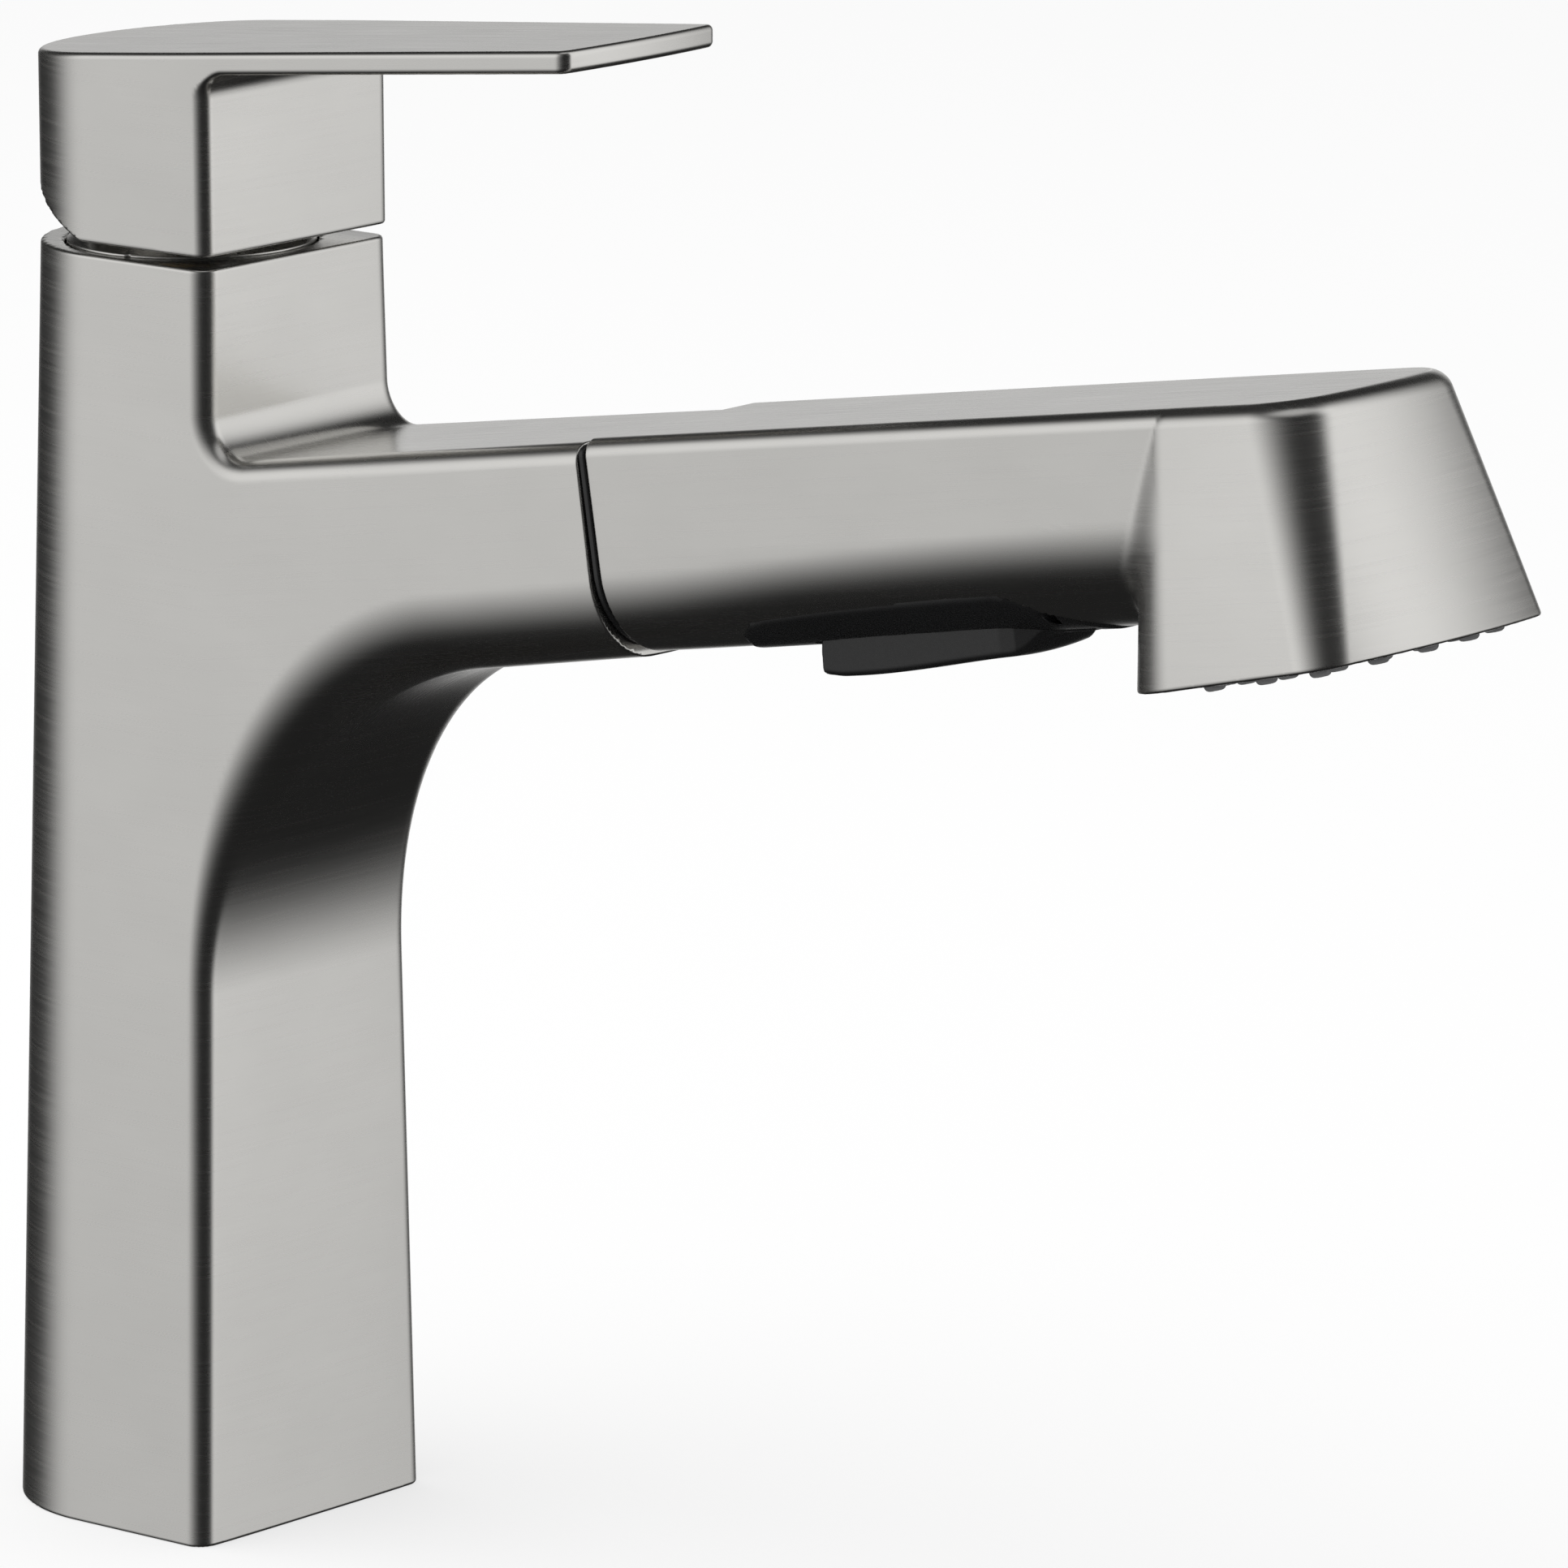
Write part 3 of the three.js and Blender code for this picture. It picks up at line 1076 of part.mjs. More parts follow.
// Chamber over the nozzle mat, with the pipe that feeds it from the diverter
function sprayChamber() {
  const top = waterwayH;
  const slab = solid(inHead(faceSlab(faceInset + CHAMBER_INSET, chamberLow, chamberHigh)));
  const foot = faceLine(FACE_CENTRE) + chamberHigh;
  const riser = solid(cylinder(6, foot - 1, top + 6, 20).translate(FACE_CENTRE, 0, 0));
  const pipe = solid(alongX(cylinder(waterwayOuter, housingEnd + FIT, FACE_CENTRE, 16)).translate(0, 0, top));
  const pipeBore = solid(alongX(cylinder(WATERWAY_BORE, housingEnd - CUT, FACE_CENTRE, 12)).translate(0, 0, top));
  const riserBore = solid(cylinder(WATERWAY_BORE + 0.6, foot - 3, top + 2, 16).translate(FACE_CENTRE, 0, 0));
  const seat = solid(inHead(cylinder(AERATOR_RADIUS + FIT, chamberLow - CUT, chamberHigh - 1.5, 24)));
  return cut(join(slab, riser, pipe), pipeBore, riserBore, seat);
}

// ---------- Assembly ----------
const faucet = new THREE.Group();
const wand = new THREE.Group();
wand.position.set(DOCK_X, 0, DOCK_Z);
wand.rotation.y = -ARM_ANGLE;
faucet.add(wand);

function place(name, body, material, parent = faucet) {
  const mesh = new THREE.Mesh(geometryOf(body), material);
  mesh.name = name;
  parent.add(mesh);
}

place('spout_body', spoutBody(), MATERIALS.brushed);
place('deck_gasket', deckGasket(), MATERIALS.rubber);
place('base_plate', basePlate(), MATERIALS.steel);
for (const { name, x } of screwPlaces) {
  const low = plateBottom - SCREW_HEAD_HEIGHT - FIT;
  const body = geometryOf(screw(SCREW_HEAD_HEIGHT, SCREW_LENGTH)).translate(x, 0, low);
  place(`base_screw_${name}`, solid(body), MATERIALS.steel);
}
for (const { name, x, y } of tubePlaces) {
  const pipe = tube(TUBE_RADIUS, TUBE_BORE, FIT, SEAT_Z - FIT, 16).translate(x, y, 0);
  place(`${name}_water_tube`, solid(pipe), MATERIALS.brass);
  place(`${name}_fitting`, solid(geometryOf(inletFitting()).translate(x, y, 0)), MATERIALS.brass);
}
place('spray_hose', solid(sprayHose()), MATERIALS.hose);

place('port_seal', portDisc(housingRadius - HOUSING_WALL, SEAT_Z + FIT, sealTop, TUBE_BORE), MATERIALS.rubber);
place('cartridge_base', portDisc(housingRadius, baseLow, baseTop, DISC_PORT_RADIUS), MATERIALS.white);
place('fixed_disc', portDisc(DISC_RADIUS, fixedLow, fixedTop, DISC_PORT_RADIUS), MATERIALS.ceramic);
place('moving_disc', movingDisc(), MATERIALS.ceramic);
place('disc_carrier', discCarrier(), MATERIALS.white);
place('cartridge_housing', cartridgeHousing(), MATERIALS.white);
place('cartridge_rotor', cartridgeRotor(), MATERIALS.white);
place('stem_pin', solid(stemPin()), MATERIALS.steel);
place('cartridge_stem', cartridgeStem(), MATERIALS.brass);
place('bonnet_nut', bonnetNut(), MATERIALS.brass);
place('temperature_limit_ring', limitRing(), MATERIALS.grey);
place('bonnet_ring', bonnetRing(), MATERIALS.brushed);
place('handle', handle(), MATERIALS.brushed);
place('handle_set_screw', setScrew(), MATERIALS.steel);
place('set_screw_plug', setScrewPlug(), MATERIALS.grey);

place('dock_collar', dockCollar(), MATERIALS.black, wand);
place('hose_guide', hoseGuide(), MATERIALS.white, wand);
place('wand_shell', wandShell(), MATERIALS.brushed, wand);
place('wand_neck', wandNeck(), MATERIALS.black, wand);
place('dock_seal', dockSeal(), MATERIALS.rubber, wand);
place('hose_coupling_nut', couplingNut(), MATERIALS.brass, wand);
place('check_valve', checkValve(), MATERIALS.white, wand);
place('inlet_screen', inletScreen(), MATERIALS.steel, wand);
place('waterway_tube', waterwayTube(), MATERIALS.white, wand);
place('diverter_housing', diverterHousing(), MATERIALS.grey, wand);
place('diverter_spool', diverterSpool(), MATERIALS.white, wand);
place('spool_seal', spoolSeal(), MATERIALS.rubber, wand);
place('switch_panel', switchPanel(), MATERIALS.black, wand);
place('trigger', triggerLever(), MATERIALS.black, wand);
place('trigger_pin', triggerPin(), MATERIALS.steel, wand);
place('trigger_spring', triggerSpring(), MATERIALS.steel, wand);
place('spray_chamber', sprayChamber(), MATERIALS.grey, wand);
place('nozzle_mat', nozzleMat(), MATERIALS.rubber, wand);
place('spray_face', sprayFace(), MATERIALS.grey, wand);
place('aerator', aerator(), MATERIALS.white, wand);

export default faucet;
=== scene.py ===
"""Looks of a kitchen faucet with a pull-out spray wand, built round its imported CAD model."""
import math

import bpy
import numpy as np
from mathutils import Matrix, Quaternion, Vector


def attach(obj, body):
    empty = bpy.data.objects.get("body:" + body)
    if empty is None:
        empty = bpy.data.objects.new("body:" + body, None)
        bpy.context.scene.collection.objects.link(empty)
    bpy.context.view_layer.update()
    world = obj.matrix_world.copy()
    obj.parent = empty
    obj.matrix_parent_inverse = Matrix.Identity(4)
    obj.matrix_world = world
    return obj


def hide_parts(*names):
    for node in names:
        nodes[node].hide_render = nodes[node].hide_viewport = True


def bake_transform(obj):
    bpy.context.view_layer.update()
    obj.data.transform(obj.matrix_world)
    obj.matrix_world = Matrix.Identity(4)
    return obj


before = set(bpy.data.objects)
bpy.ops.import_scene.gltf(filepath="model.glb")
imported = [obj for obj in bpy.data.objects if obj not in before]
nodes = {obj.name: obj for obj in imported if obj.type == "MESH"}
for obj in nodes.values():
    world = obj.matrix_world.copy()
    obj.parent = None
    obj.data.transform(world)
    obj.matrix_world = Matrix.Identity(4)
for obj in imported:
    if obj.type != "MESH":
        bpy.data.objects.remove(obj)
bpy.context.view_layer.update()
MM = 0.001  # the shapes below are worked out in millimetres

# ---------- Camera ----------
CAMERA_AZIMUTH = math.radians(40.182)
CAMERA_ELEVATION = math.radians(12.24)
CAMERA_ROLL = math.radians(-0.285)
CAMERA_DISTANCE = 1.81034
CAMERA_TARGET = Vector((0.1164, 0, 0.12753))
CAMERA_LENS = 284.37


def link(made):
    bpy.context.scene.collection.objects.link(made)
    return made


def make_camera():
    data = bpy.data.cameras.new("camera")
    data.lens = CAMERA_LENS
    data.clip_start = 0.05
    data.clip_end = 30
    camera = link(bpy.data.objects.new("camera", data))
    back = Vector((
        math.sin(CAMERA_AZIMUTH) * math.cos(CAMERA_ELEVATION),
        -math.cos(CAMERA_AZIMUTH) * math.cos(CAMERA_ELEVATION),
        math.sin(CAMERA_ELEVATION),
    ))
    camera.location = CAMERA_TARGET + back * CAMERA_DISTANCE
    camera.rotation_mode = "QUATERNION"
    level = (-back).to_track_quat("-Z", "Y")
    camera.rotation_quaternion = level @ Quaternion((0, 0, 1), CAMERA_ROLL)
    bpy.context.scene.camera = camera


make_camera()

# ---------- Measures ----------
# Those of the CAD model, except that some edges and the back of the head are rounder here
COLUMN_HEIGHT = 196
COLUMN_FRONT = 21.8
BASE_HALF_WIDTH = 25.4
TOP_HALF_WIDTH = 20.9
BASE_BACK_CENTRE = -5
TOP_BACK_CENTRE = -2.6
COLUMN_EDGE = 3.1
COLUMN_WALL = 2.8
RIM_EDGE = 0.5
ARM_ANGLE = math.radians(8.92)
DOCK_X = 97.45
DOCK_Z = COLUMN_HEIGHT - 33.13
ARM_TOP = 15.8
ARM_BOTTOM = 17.2
ARM_HALF_WIDTH = 19.75
ARM_END_GAP = 1.7
ARM_LOW_EDGE = 12
UNDERSIDE_ANGLE = math.radians(1.5)
UNDER_CURVE_RADIUS = 55.5
TOP_CURVE_RADIUS = 6
SEAT_Z = COLUMN_HEIGHT - 34.5
SEAT_RADIUS = 19.2
HANDLE_BOTTOM = COLUMN_HEIGHT + 1.9
BLOCK_HALF_WIDTH = 21.1
BLOCK_FRONT = 22
BLOCK_BACK_CENTRE = -2.2
BLOCK_EDGE = 2.2
LEVER_ANGLE = math.radians(5.34)
LEVER_TOP_Z = COLUMN_HEIGHT + 30.8
LEVER_THICKNESS = 3.4
LEVER_END_X = 91
LEVER_END_HALF = 17
LEVER_END_RADIUS = 120
LEVER_EDGE = 0.9
LEVER_FILLET = 3.8
BACK_CUT_X = -3.8
BACK_CUT_ANGLE = math.radians(24.2)
WAND_HALF_WIDTH = 20.35
WAND_HALF_HEIGHT = 16.4
WAND_BOTTOM = 16.6
WAND_UNDERSIDE_ANGLE = math.radians(0.4)
WAND_LOW_EDGE_BACK = 12
WAND_LOW_EDGE_FRONT = 15.5
WAND_START = 0.7
WAND_LEAN = 1.5
WAND_TOP_EDGE = 2.6
WAND_WALL = 2.2
WAND_END = 118
HEAD_BACK_TOP = 101.5
HEAD_BACK_LOW = 94.9
HEAD_NOSE_TOP = 134
HEAD_NOSE_LOW = 141.4
HEAD_REAR_HALF = 24
HEAD_NOSE_HALF = 27
HEAD_DROP = 23.8
HEAD_FACE_ANGLE = math.radians(4.77)
HEAD_CORNER_TOP = 10
HEAD_CORNER_LOW = 6.5
HEAD_FRONT_RADIUS = 80
HEAD_TOP_EDGE = 2.6
HEAD_BACK_CORNER_TOP = 8
HEAD_BACK_CORNER_LOW = 13
HEAD_BLEND = 4.5

cos_arm, sin_arm, tan_arm = math.cos(ARM_ANGLE), math.sin(ARM_ANGLE), math.tan(ARM_ANGLE)


# ---------- Distance fields ----------
# A field is below zero inside its solid. Fields join with min and cut with max, and meet and merge
# do the same with a rounded edge.
def meet(a, b, radius):
    """Common part of two solids, with the edge between them rounded off."""
    past_a, past_b = np.maximum(a + radius, 0), np.maximum(b + radius, 0)
    return np.minimum(np.maximum(a, b), -radius) + np.hypot(past_a, past_b)


def merge(a, b, radius):
    """Two solids joined, with a fillet in the corner between them."""
    short_a, short_b = np.maximum(radius - a, 0), np.maximum(radius - b, 0)
    return np.maximum(np.minimum(a, b), radius) - np.hypot(short_a, short_b)


def mix(low, high, share):
    return low + (high - low) * share


def ease(value, low, high):
    """0 below low, 1 above high, and smooth between."""
    t = np.clip((value - low) / (high - low), 0, 1)
    return t * t * (3 - 2 * t)


def beyond(value, start, softness=2.0):
    """How far value is past start, with a soft bend there."""
    return softness * np.logaddexp(0, (value - start) / softness)


def corner(x, z, centre, across, radius):
    """Room outside a rounded inner corner: across are the directions to its two walls."""
    dx, dz = x - centre[0], z - centre[1]
    first = dx * across[0][0] + dz * across[0][1]
    second = dx * across[1][0] + dz * across[1][1]
    cosine = across[0][0] * across[1][0] + across[0][1] * across[1][1]
    between = (first > cosine * second) & (second > cosine * first) & (first + second > 0)
    return radius - np.where(between, np.hypot(dx, dz), np.maximum(first, second))


# ---------- Closed meshes from fields ----------
def steps(*stretches):
    """Grid lines: the start, then (end, spacing) for each stretch."""
    lines = [stretches[0]]
    for end, spacing in stretches[1:]:
        count = max(1, round((end - lines[-1]) / spacing))
        lines.extend(np.linspace(lines[-1], end, count + 1)[1:])
    return np.array(lines)


def both_sides(*stretches):
    """Grid lines mirrored about 0."""
    half = steps(0, *stretches)
    return np.concatenate([-half[:0:-1], half])


GRADIENT_STEP = 0.01
SURFACE_PASSES = 4  # how often the vertices are moved onto the surface
LONGEST_MOVE = 0.4
LEAST_SQUARED_SLOPE = 0.1  # keeps the moves short where a field is nearly flat


def slope(field, points):
    """Gradient of a field at points."""
    rows = []
    for axis in range(3):
        step = np.zeros(3)
        step[axis] = GRADIENT_STEP
        rows.append((field(*(points + step).T) - field(*(points - step).T)) / (2 * GRADIENT_STEP))
    return np.stack(rows, 1)


def surface(field, axes, place=lambda a, b, c: (a, b, c)):
    """Vertices, normals and quads of the surface where field is 0.

    The grid of axes, which place may bend, has one vertex in each cell that the surface crosses.
    """
    points = np.stack(np.broadcast_arrays(*place(*np.meshgrid(*axes, indexing="ij"))), -1)
    value = field(points[..., 0], points[..., 1], points[..., 2])
    inside = value < 0
    cells = np.array(value.shape) - 1
    rings, hits = [], []
    for axis, (second, third) in enumerate(((1, 2), (2, 0), (0, 1))):
        low = np.argwhere(np.diff(inside, axis=axis))
        unit = np.eye(3, dtype=int)[axis]
        at, on = tuple(low.T), tuple((low + unit).T)
        share = value[at] / (value[at] - value[on])
        hits.append(points[at] + share[:, None] * (points[on] - points[at]))
        ring = []
        for back_second, back_third in ((0, 0), (1, 0), (1, 1), (0, 1)):
            cell = low.copy()
            cell[:, second] -= back_second
            cell[:, third] -= back_third
            ring.append(np.ravel_multi_index(tuple(cell.T), cells))
        ring = np.stack(ring, 1)
        leaving = ~inside[at]
        ring[leaving] = ring[leaving][:, ::-1]
        rings.append(ring)
    rings, hits = np.concatenate(rings), np.concatenate(hits)
    quads = np.unique(rings, return_inverse=True)[1].reshape(-1, 4)
    count = np.bincount(quads.ravel())
    sums = [np.bincount(quads.ravel(), np.repeat(hits[:, i], 4)) for i in range(3)]
    vertices = np.stack(sums, 1) / count[:, None]
    for _ in range(SURFACE_PASSES):
        gradient = slope(field, vertices)
        squared = np.maximum((gradient ** 2).sum(1), LEAST_SQUARED_SLOPE)
        move = -field(*vertices.T)[:, None] * gradient / squared[:, None]
        vertices += np.clip(move, -LONGEST_MOVE, LONGEST_MOVE)
    gradient = slope(field, vertices)
    normals = gradient / np.maximum(np.linalg.norm(gradient, axis=1), 1e-9)[:, None]
    corners = vertices[quads]
    across = np.cross(corners[:, 2] - corners[:, 0], corners[:, 3] - corners[:, 1])
    if (across * normals[quads[:, 0]]).sum() < 0:
        quads = quads[:, ::-1]
    return vertices, normals, quads


def along_arm(points):
    """From the wand's own frame, (along, across, up) from the dock, to the model's."""
    s, y, h = points[:, 0], points[:, 1], points[:, 2]
    return np.stack([s * cos_arm - h * sin_arm, y, s * sin_arm + h * cos_arm], 1)


def piece(name, made, material, body, *replaced, turned=False):
    """A mesh object of a surface, which rides on a body and stands for CAD nodes."""
    vertices, normals, quads = made
    if turned:
        vertices = along_arm(vertices) + np.array([DOCK_X, 0, DOCK_Z])
        normals = along_arm(normals)
    mesh = bpy.data.meshes.new(name)
    mesh.from_pydata((vertices * MM).tolist(), [], quads.tolist())
    mesh.shade_smooth()
    mesh.normals_split_custom_set_from_vertices(normals.tolist())
    mesh.materials.append(material)
    thing = link(bpy.data.objects.new(name, mesh))
    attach(thing, body)
    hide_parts(*replaced)
    return thing


# ---------- Node trees ----------
class Nodes:
    """Adds nodes to a tree and wires them. A value is a socket or a constant."""

    def __init__(self, tree):
        self.nodes = tree.nodes
        self.links = tree.links

    def node(self, kind, inputs=None, **settings):
        made = self.nodes.new(kind)
        for key, value in settings.items():
            setattr(made, key, value)
        for key, value in (inputs or {}).items():
            self.feed(made, key, value)
        return made

    def feed(self, node, key, value):
        socket = node.inputs[key]
        if isinstance(value, bpy.types.NodeSocket):
            self.links.new(value, socket)
        else:
            socket.default_value = value

    def number(self, operation, *values):
        return self.node("ShaderNodeMath", dict(enumerate(values)), operation=operation).outputs[0]

    def between(self, value, low, high, start=0.3, end=0.7, **settings):
        """Low to high as value goes from start to end."""
        limits = {"Value": value, "From Min": start, "From Max": end, "To Min": low, "To Max": high}
        return self.node("ShaderNodeMapRange", limits, **settings).outputs["Result"]

    def smooth(self, value, start, end):
        """0 at start, 1 at end and smooth between; start may lie past end."""
        limits = (0, 1, start, end) if start < end else (1, 0, end, start)
        return self.between(value, *limits, interpolation_type="SMOOTHSTEP")

    def mixed(self, share, first, second):
        return self.node("ShaderNodeMix", {"Factor": share, "A": first, "B": second}).outputs["Result"]


# ---------- Materials ----------
GRAIN_STRETCH = 0.02  # width of the brushed grain over its length
GRAIN_SCALE = 2200.0
GRAIN_DEPTH = 0.0000009
GRAIN_SHARE = 0.55  # of the metal's tint; the clouds have the rest
CLOUD_SCALE = 70.0
CLOUD_HEIGHT_SCALE = 1.6
CLOUD_DEPTH = 0.000012
METAL_TINT = 0.03
METAL_SPREAD = 0.025  # of the roughness
METAL_ANISOTROPY = 0.5
FACES_UP = 0.75  # a face whose normal rises more than this has its grain along it, not round it
TANGENT_LEAN = 0.15  # gives level faces, round which nothing runs, a direction too
MOULD_CLOUD_SCALE = 90.0
MOULD_SPREAD = 0.05
WEAVE_SCALE = 4200.0
WEAVE_LEAN = 0.9
WEAVE_TINT = 0.5
WEAVE_DEPTH = 0.00012


class Shader(Nodes):
    """Builds one material. Its patterns lie in the model's frame, in metres."""

    def __init__(self, name, colour, roughness, metallic=0.0):
        self.material = bpy.data.materials.new(name)
        self.material.use_nodes = True
        super().__init__(self.material.node_tree)
        self.surface = self.nodes["Principled BSDF"]
        self.colour = colour
        self.place = self.node("ShaderNodeTexCoord").outputs["Object"]
        self.set(**{"Base Color": (*colour, 1), "Metallic": metallic, "Roughness": roughness})

    def set(self, **inputs):
        for key, value in inputs.items():
            self.feed(self.surface, key, value)

    def vector(self, operation, first, second):
        return self.node("ShaderNodeVectorMath", {0: first, 1: second}, operation=operation).outputs

    def noise(self, place, scale, detail=2.0):
        """Noise with features about one unit over scale wide."""
        inputs = {"Vector": place, "Scale": scale, "Detail": detail}
        return self.node("ShaderNodeTexNoise", inputs).outputs[0]

    def tint(self, value, spread):
        """Makes the colour lighter and darker by a share of itself."""
        level = self.between(value, 1 - spread, 1 + spread)
        inputs = {0: self.colour, "Scale": level}
        shade = self.node("ShaderNodeVectorMath", inputs, operation="SCALE")
        self.set(**{"Base Color": shade.outputs[0]})

    def rough(self, value, middle, spread):
        self.set(Roughness=self.between(value, middle - spread, middle + spread))

    def relief(self, height, depth, under=None):
        """Bumps of a depth in metres."""
        inputs = {"Height": height, "Distance": depth, "Strength": 1.0}
        if under is not None:
            inputs["Normal"] = under
        bump = self.node("ShaderNodeBump", inputs).outputs[0]
        self.set(Normal=bump)
        return bump


def grain_place(shader):
    """Coordinates drawn out along the grain: level round the upright faces, along the arm and lever."""
    x, y, z = shader.node("ShaderNodeSeparateXYZ", {0: shader.place}).outputs
    forward = shader.number("MAXIMUM", shader.number("SUBTRACT", x, COLUMN_FRONT * MM), 0.0)
    on_handle = shader.number("GREATER_THAN", z, COLUMN_HEIGHT * MM)
    rise = shader.between(on_handle, tan_arm, math.tan(LEVER_ANGLE), 0.0, 1.0)
    level = shader.number("SUBTRACT", z, shader.number("MULTIPLY", forward, rise))
    facing = shader.node("ShaderNodeNewGeometry").outputs["True Normal"]
    face_up = shader.node("ShaderNodeSeparateXYZ", {0: facing}).outputs[2]
    flat = shader.number("GREATER_THAN", shader.number("ABSOLUTE", face_up), FACES_UP)
    along_x = shader.number("MULTIPLY", x, GRAIN_STRETCH)
    along_y = shader.number("MULTIPLY", y, shader.between(flat, GRAIN_STRETCH, 1.0, 0.0, 1.0))
    upright = shader.number("MULTIPLY", level, shader.number("SUBTRACT", 1.0, flat))
    return shader.node("ShaderNodeCombineXYZ", {0: along_x, 1: along_y, 2: upright}).outputs[0]


def brushed_metal(name, colour, roughness=0.26, lines=1.0):
    """Metal with a fine grain, whose strength is lines, and soft clouds."""
    shader = Shader(name, colour, roughness, metallic=1.0)
    grain = shader.noise(grain_place(shader), GRAIN_SCALE, 3.0)
    cloud_place = shader.vector("MULTIPLY", shader.place, (1, 1, CLOUD_HEIGHT_SCALE))[0]
    cloud = shader.noise(cloud_place, CLOUD_SCALE)
    clouds = shader.number("MULTIPLY", cloud, 1 - GRAIN_SHARE)
    shader.tint(shader.number("MULTIPLY_ADD", grain, GRAIN_SHARE * lines, clouds), METAL_TINT)
    shader.rough(grain, roughness, METAL_SPREAD * lines)
    waves = shader.relief(cloud, CLOUD_DEPTH)
    shader.relief(grain, GRAIN_DEPTH * lines, waves)
    outward = shader.node("ShaderNodeNewGeometry").outputs["Normal"]
    around = shader.vector("CROSS_PRODUCT", (0, 0, 1), outward)[0]
    tangent = shader.vector("ADD", around, (TANGENT_LEAN, 0, 0))[0]
    shader.set(Anisotropic=METAL_ANISOTROPY, Tangent=tangent)
    return shader.material


def moulded(name, colour, roughness, grain_size=0.0004, spread=0.06, depth=0.000006):
    """Plastic, ceramic or rubber with the fine skin of its mould."""
    shader = Shader(name, colour, roughness)
    skin = shader.noise(shader.place, 1 / grain_size, 3.0)
    shader.tint(shader.noise(shader.place, MOULD_CLOUD_SCALE), spread)
    shader.rough(skin, roughness, MOULD_SPREAD)
    shader.relief(skin, depth)
    return shader.material


def braided(name, colour, roughness):
    """Sleeve of woven strands, seen as a fine diamond weave."""
    shader = Shader(name, colour, roughness)
    waves = []
    for lean in (WEAVE_LEAN, -WEAVE_LEAN):
        along = shader.vector("DOT_PRODUCT", shader.place, (1, lean, 1))["Value"]
        waves.append(shader.number("SINE", shader.number("MULTIPLY", along, WEAVE_SCALE)))
    weave = shader.number("MAXIMUM", *waves)
    shader.tint(shader.between(weave, 0.3, 0.7, -0.6, 1.0), WEAVE_TINT)
    shader.relief(weave, WEAVE_DEPTH)
    return shader.material


cad_slots = {name: thing.data.materials[0].name for name, thing in nodes.items()}
for material in list(bpy.data.materials):
    material.name = "cad_" + material.name

MATERIALS = {
    "brushed_nickel": brushed_metal("brushed_nickel", (0.74, 0.73, 0.705)),
    "steel": brushed_metal("steel", (0.62, 0.62, 0.62), 0.22, 0.5),
    "brass": brushed_metal("brass", (0.7, 0.5, 0.24), 0.24, 0.5),
    "black_plastic": moulded("black_plastic", (0.008, 0.008, 0.0084), 0.28, depth=0.000002),
    "grey_plastic": moulded("grey_plastic", (0.05, 0.05, 0.052), 0.42),
    "white_plastic": moulded("white_plastic", (0.7, 0.69, 0.65), 0.38),
    "ceramic": moulded("ceramic", (0.8, 0.78, 0.73), 0.16, 0.0002, 0.02, 0.000001),
    "rubber": moulded("rubber", (0.12, 0.12, 0.122), 0.5, 0.0003, 0.12, 0.00001),
    "hose": braided("hose", (0.05, 0.05, 0.052), 0.42),
}
for name, slot_name in cad_slots.items():
    nodes[name].data.materials[0] = MATERIALS[slot_name]


# ---------- Spout ----------
CURVE_END = 20  # this far before the lower curve's centre the arm's own edge takes over
FRONT_CROWN = 0.35  # how far the middle of a face stands out over its sides
ARM_CROWN = 1
TOP_CROWN = 0.2
ARM_END_EDGE = 0.3
SEAT_FLOOR = 5.5
SEAT_EDGE = 0.3
DOCK_BORE_RADIUS = 12.5
DOCK_BORE_DEPTH = 46
HOSE_BORE_RADIUS = 8
HOSE_BORE_DEPTH = 90
INNER_EDGE = 0.25
ARM_LEVELS = (70, 125)  # over these heights the grid goes over from the column to the arm
ARM_LENGTHS = (30, 92)


def column_half(z):
    return mix(BASE_HALF_WIDTH, TOP_HALF_WIDTH, z / COLUMN_HEIGHT)


def back_centre(z):
    return mix(BASE_BACK_CENTRE, TOP_BACK_CENTRE, z / COLUMN_HEIGHT)


arm_taper = (column_half(DOCK_Z) - ARM_HALF_WIDTH) / (DOCK_X - COLUMN_FRONT)


def cast_half(x, z):
    return column_half(z) - arm_taper * beyond(x, COLUMN_FRONT)


def arm_frame(x, z):
    """Distance along the arm's axis from the dock, and height over that axis."""
    dx, dz = x - DOCK_X, z - DOCK_Z
    return dx * cos_arm + dz * sin_arm, dz * cos_arm - dx * sin_arm


def arm_line(x, height, angle):
    """Height of a line that passes the dock at a height over the axis and rises at angle."""
    at_x, at_z = DOCK_X - height * sin_arm, DOCK_Z + height * cos_arm
    return at_z + (x - at_x) * math.tan(angle)


def corner_centre(height, angle, radius, side):
    """Centre of the curve between the column's front and an arm line, which lies on one side of it."""
    x = COLUMN_FRONT + radius
    return x, arm_line(x, height, angle) + side * radius / math.cos(angle)


under_angle = ARM_ANGLE + UNDERSIDE_ANGLE
under_centre = corner_centre(-ARM_BOTTOM, under_angle, UNDER_CURVE_RADIUS, -1)
top_centre = corner_centre(ARM_TOP, ARM_ANGLE, TOP_CURVE_RADIUS, 1)


def spout_sides(x, y, z):
    centre = back_centre(z)
    return np.where(x < centre, np.hypot(x - centre, y) - column_half(z), np.abs(y) - cast_half(x, z))


def round_curve(x, z):
    """0 on the column's front, 1 under the arm and smooth round the curve between them."""
    turn = np.arctan2(z - under_centre[1], under_centre[0] - x)
    share = ease(turn, 0, math.pi / 2 - under_angle)
    return np.maximum(share, ease(x, under_centre[0] - CURVE_END, under_centre[0]))


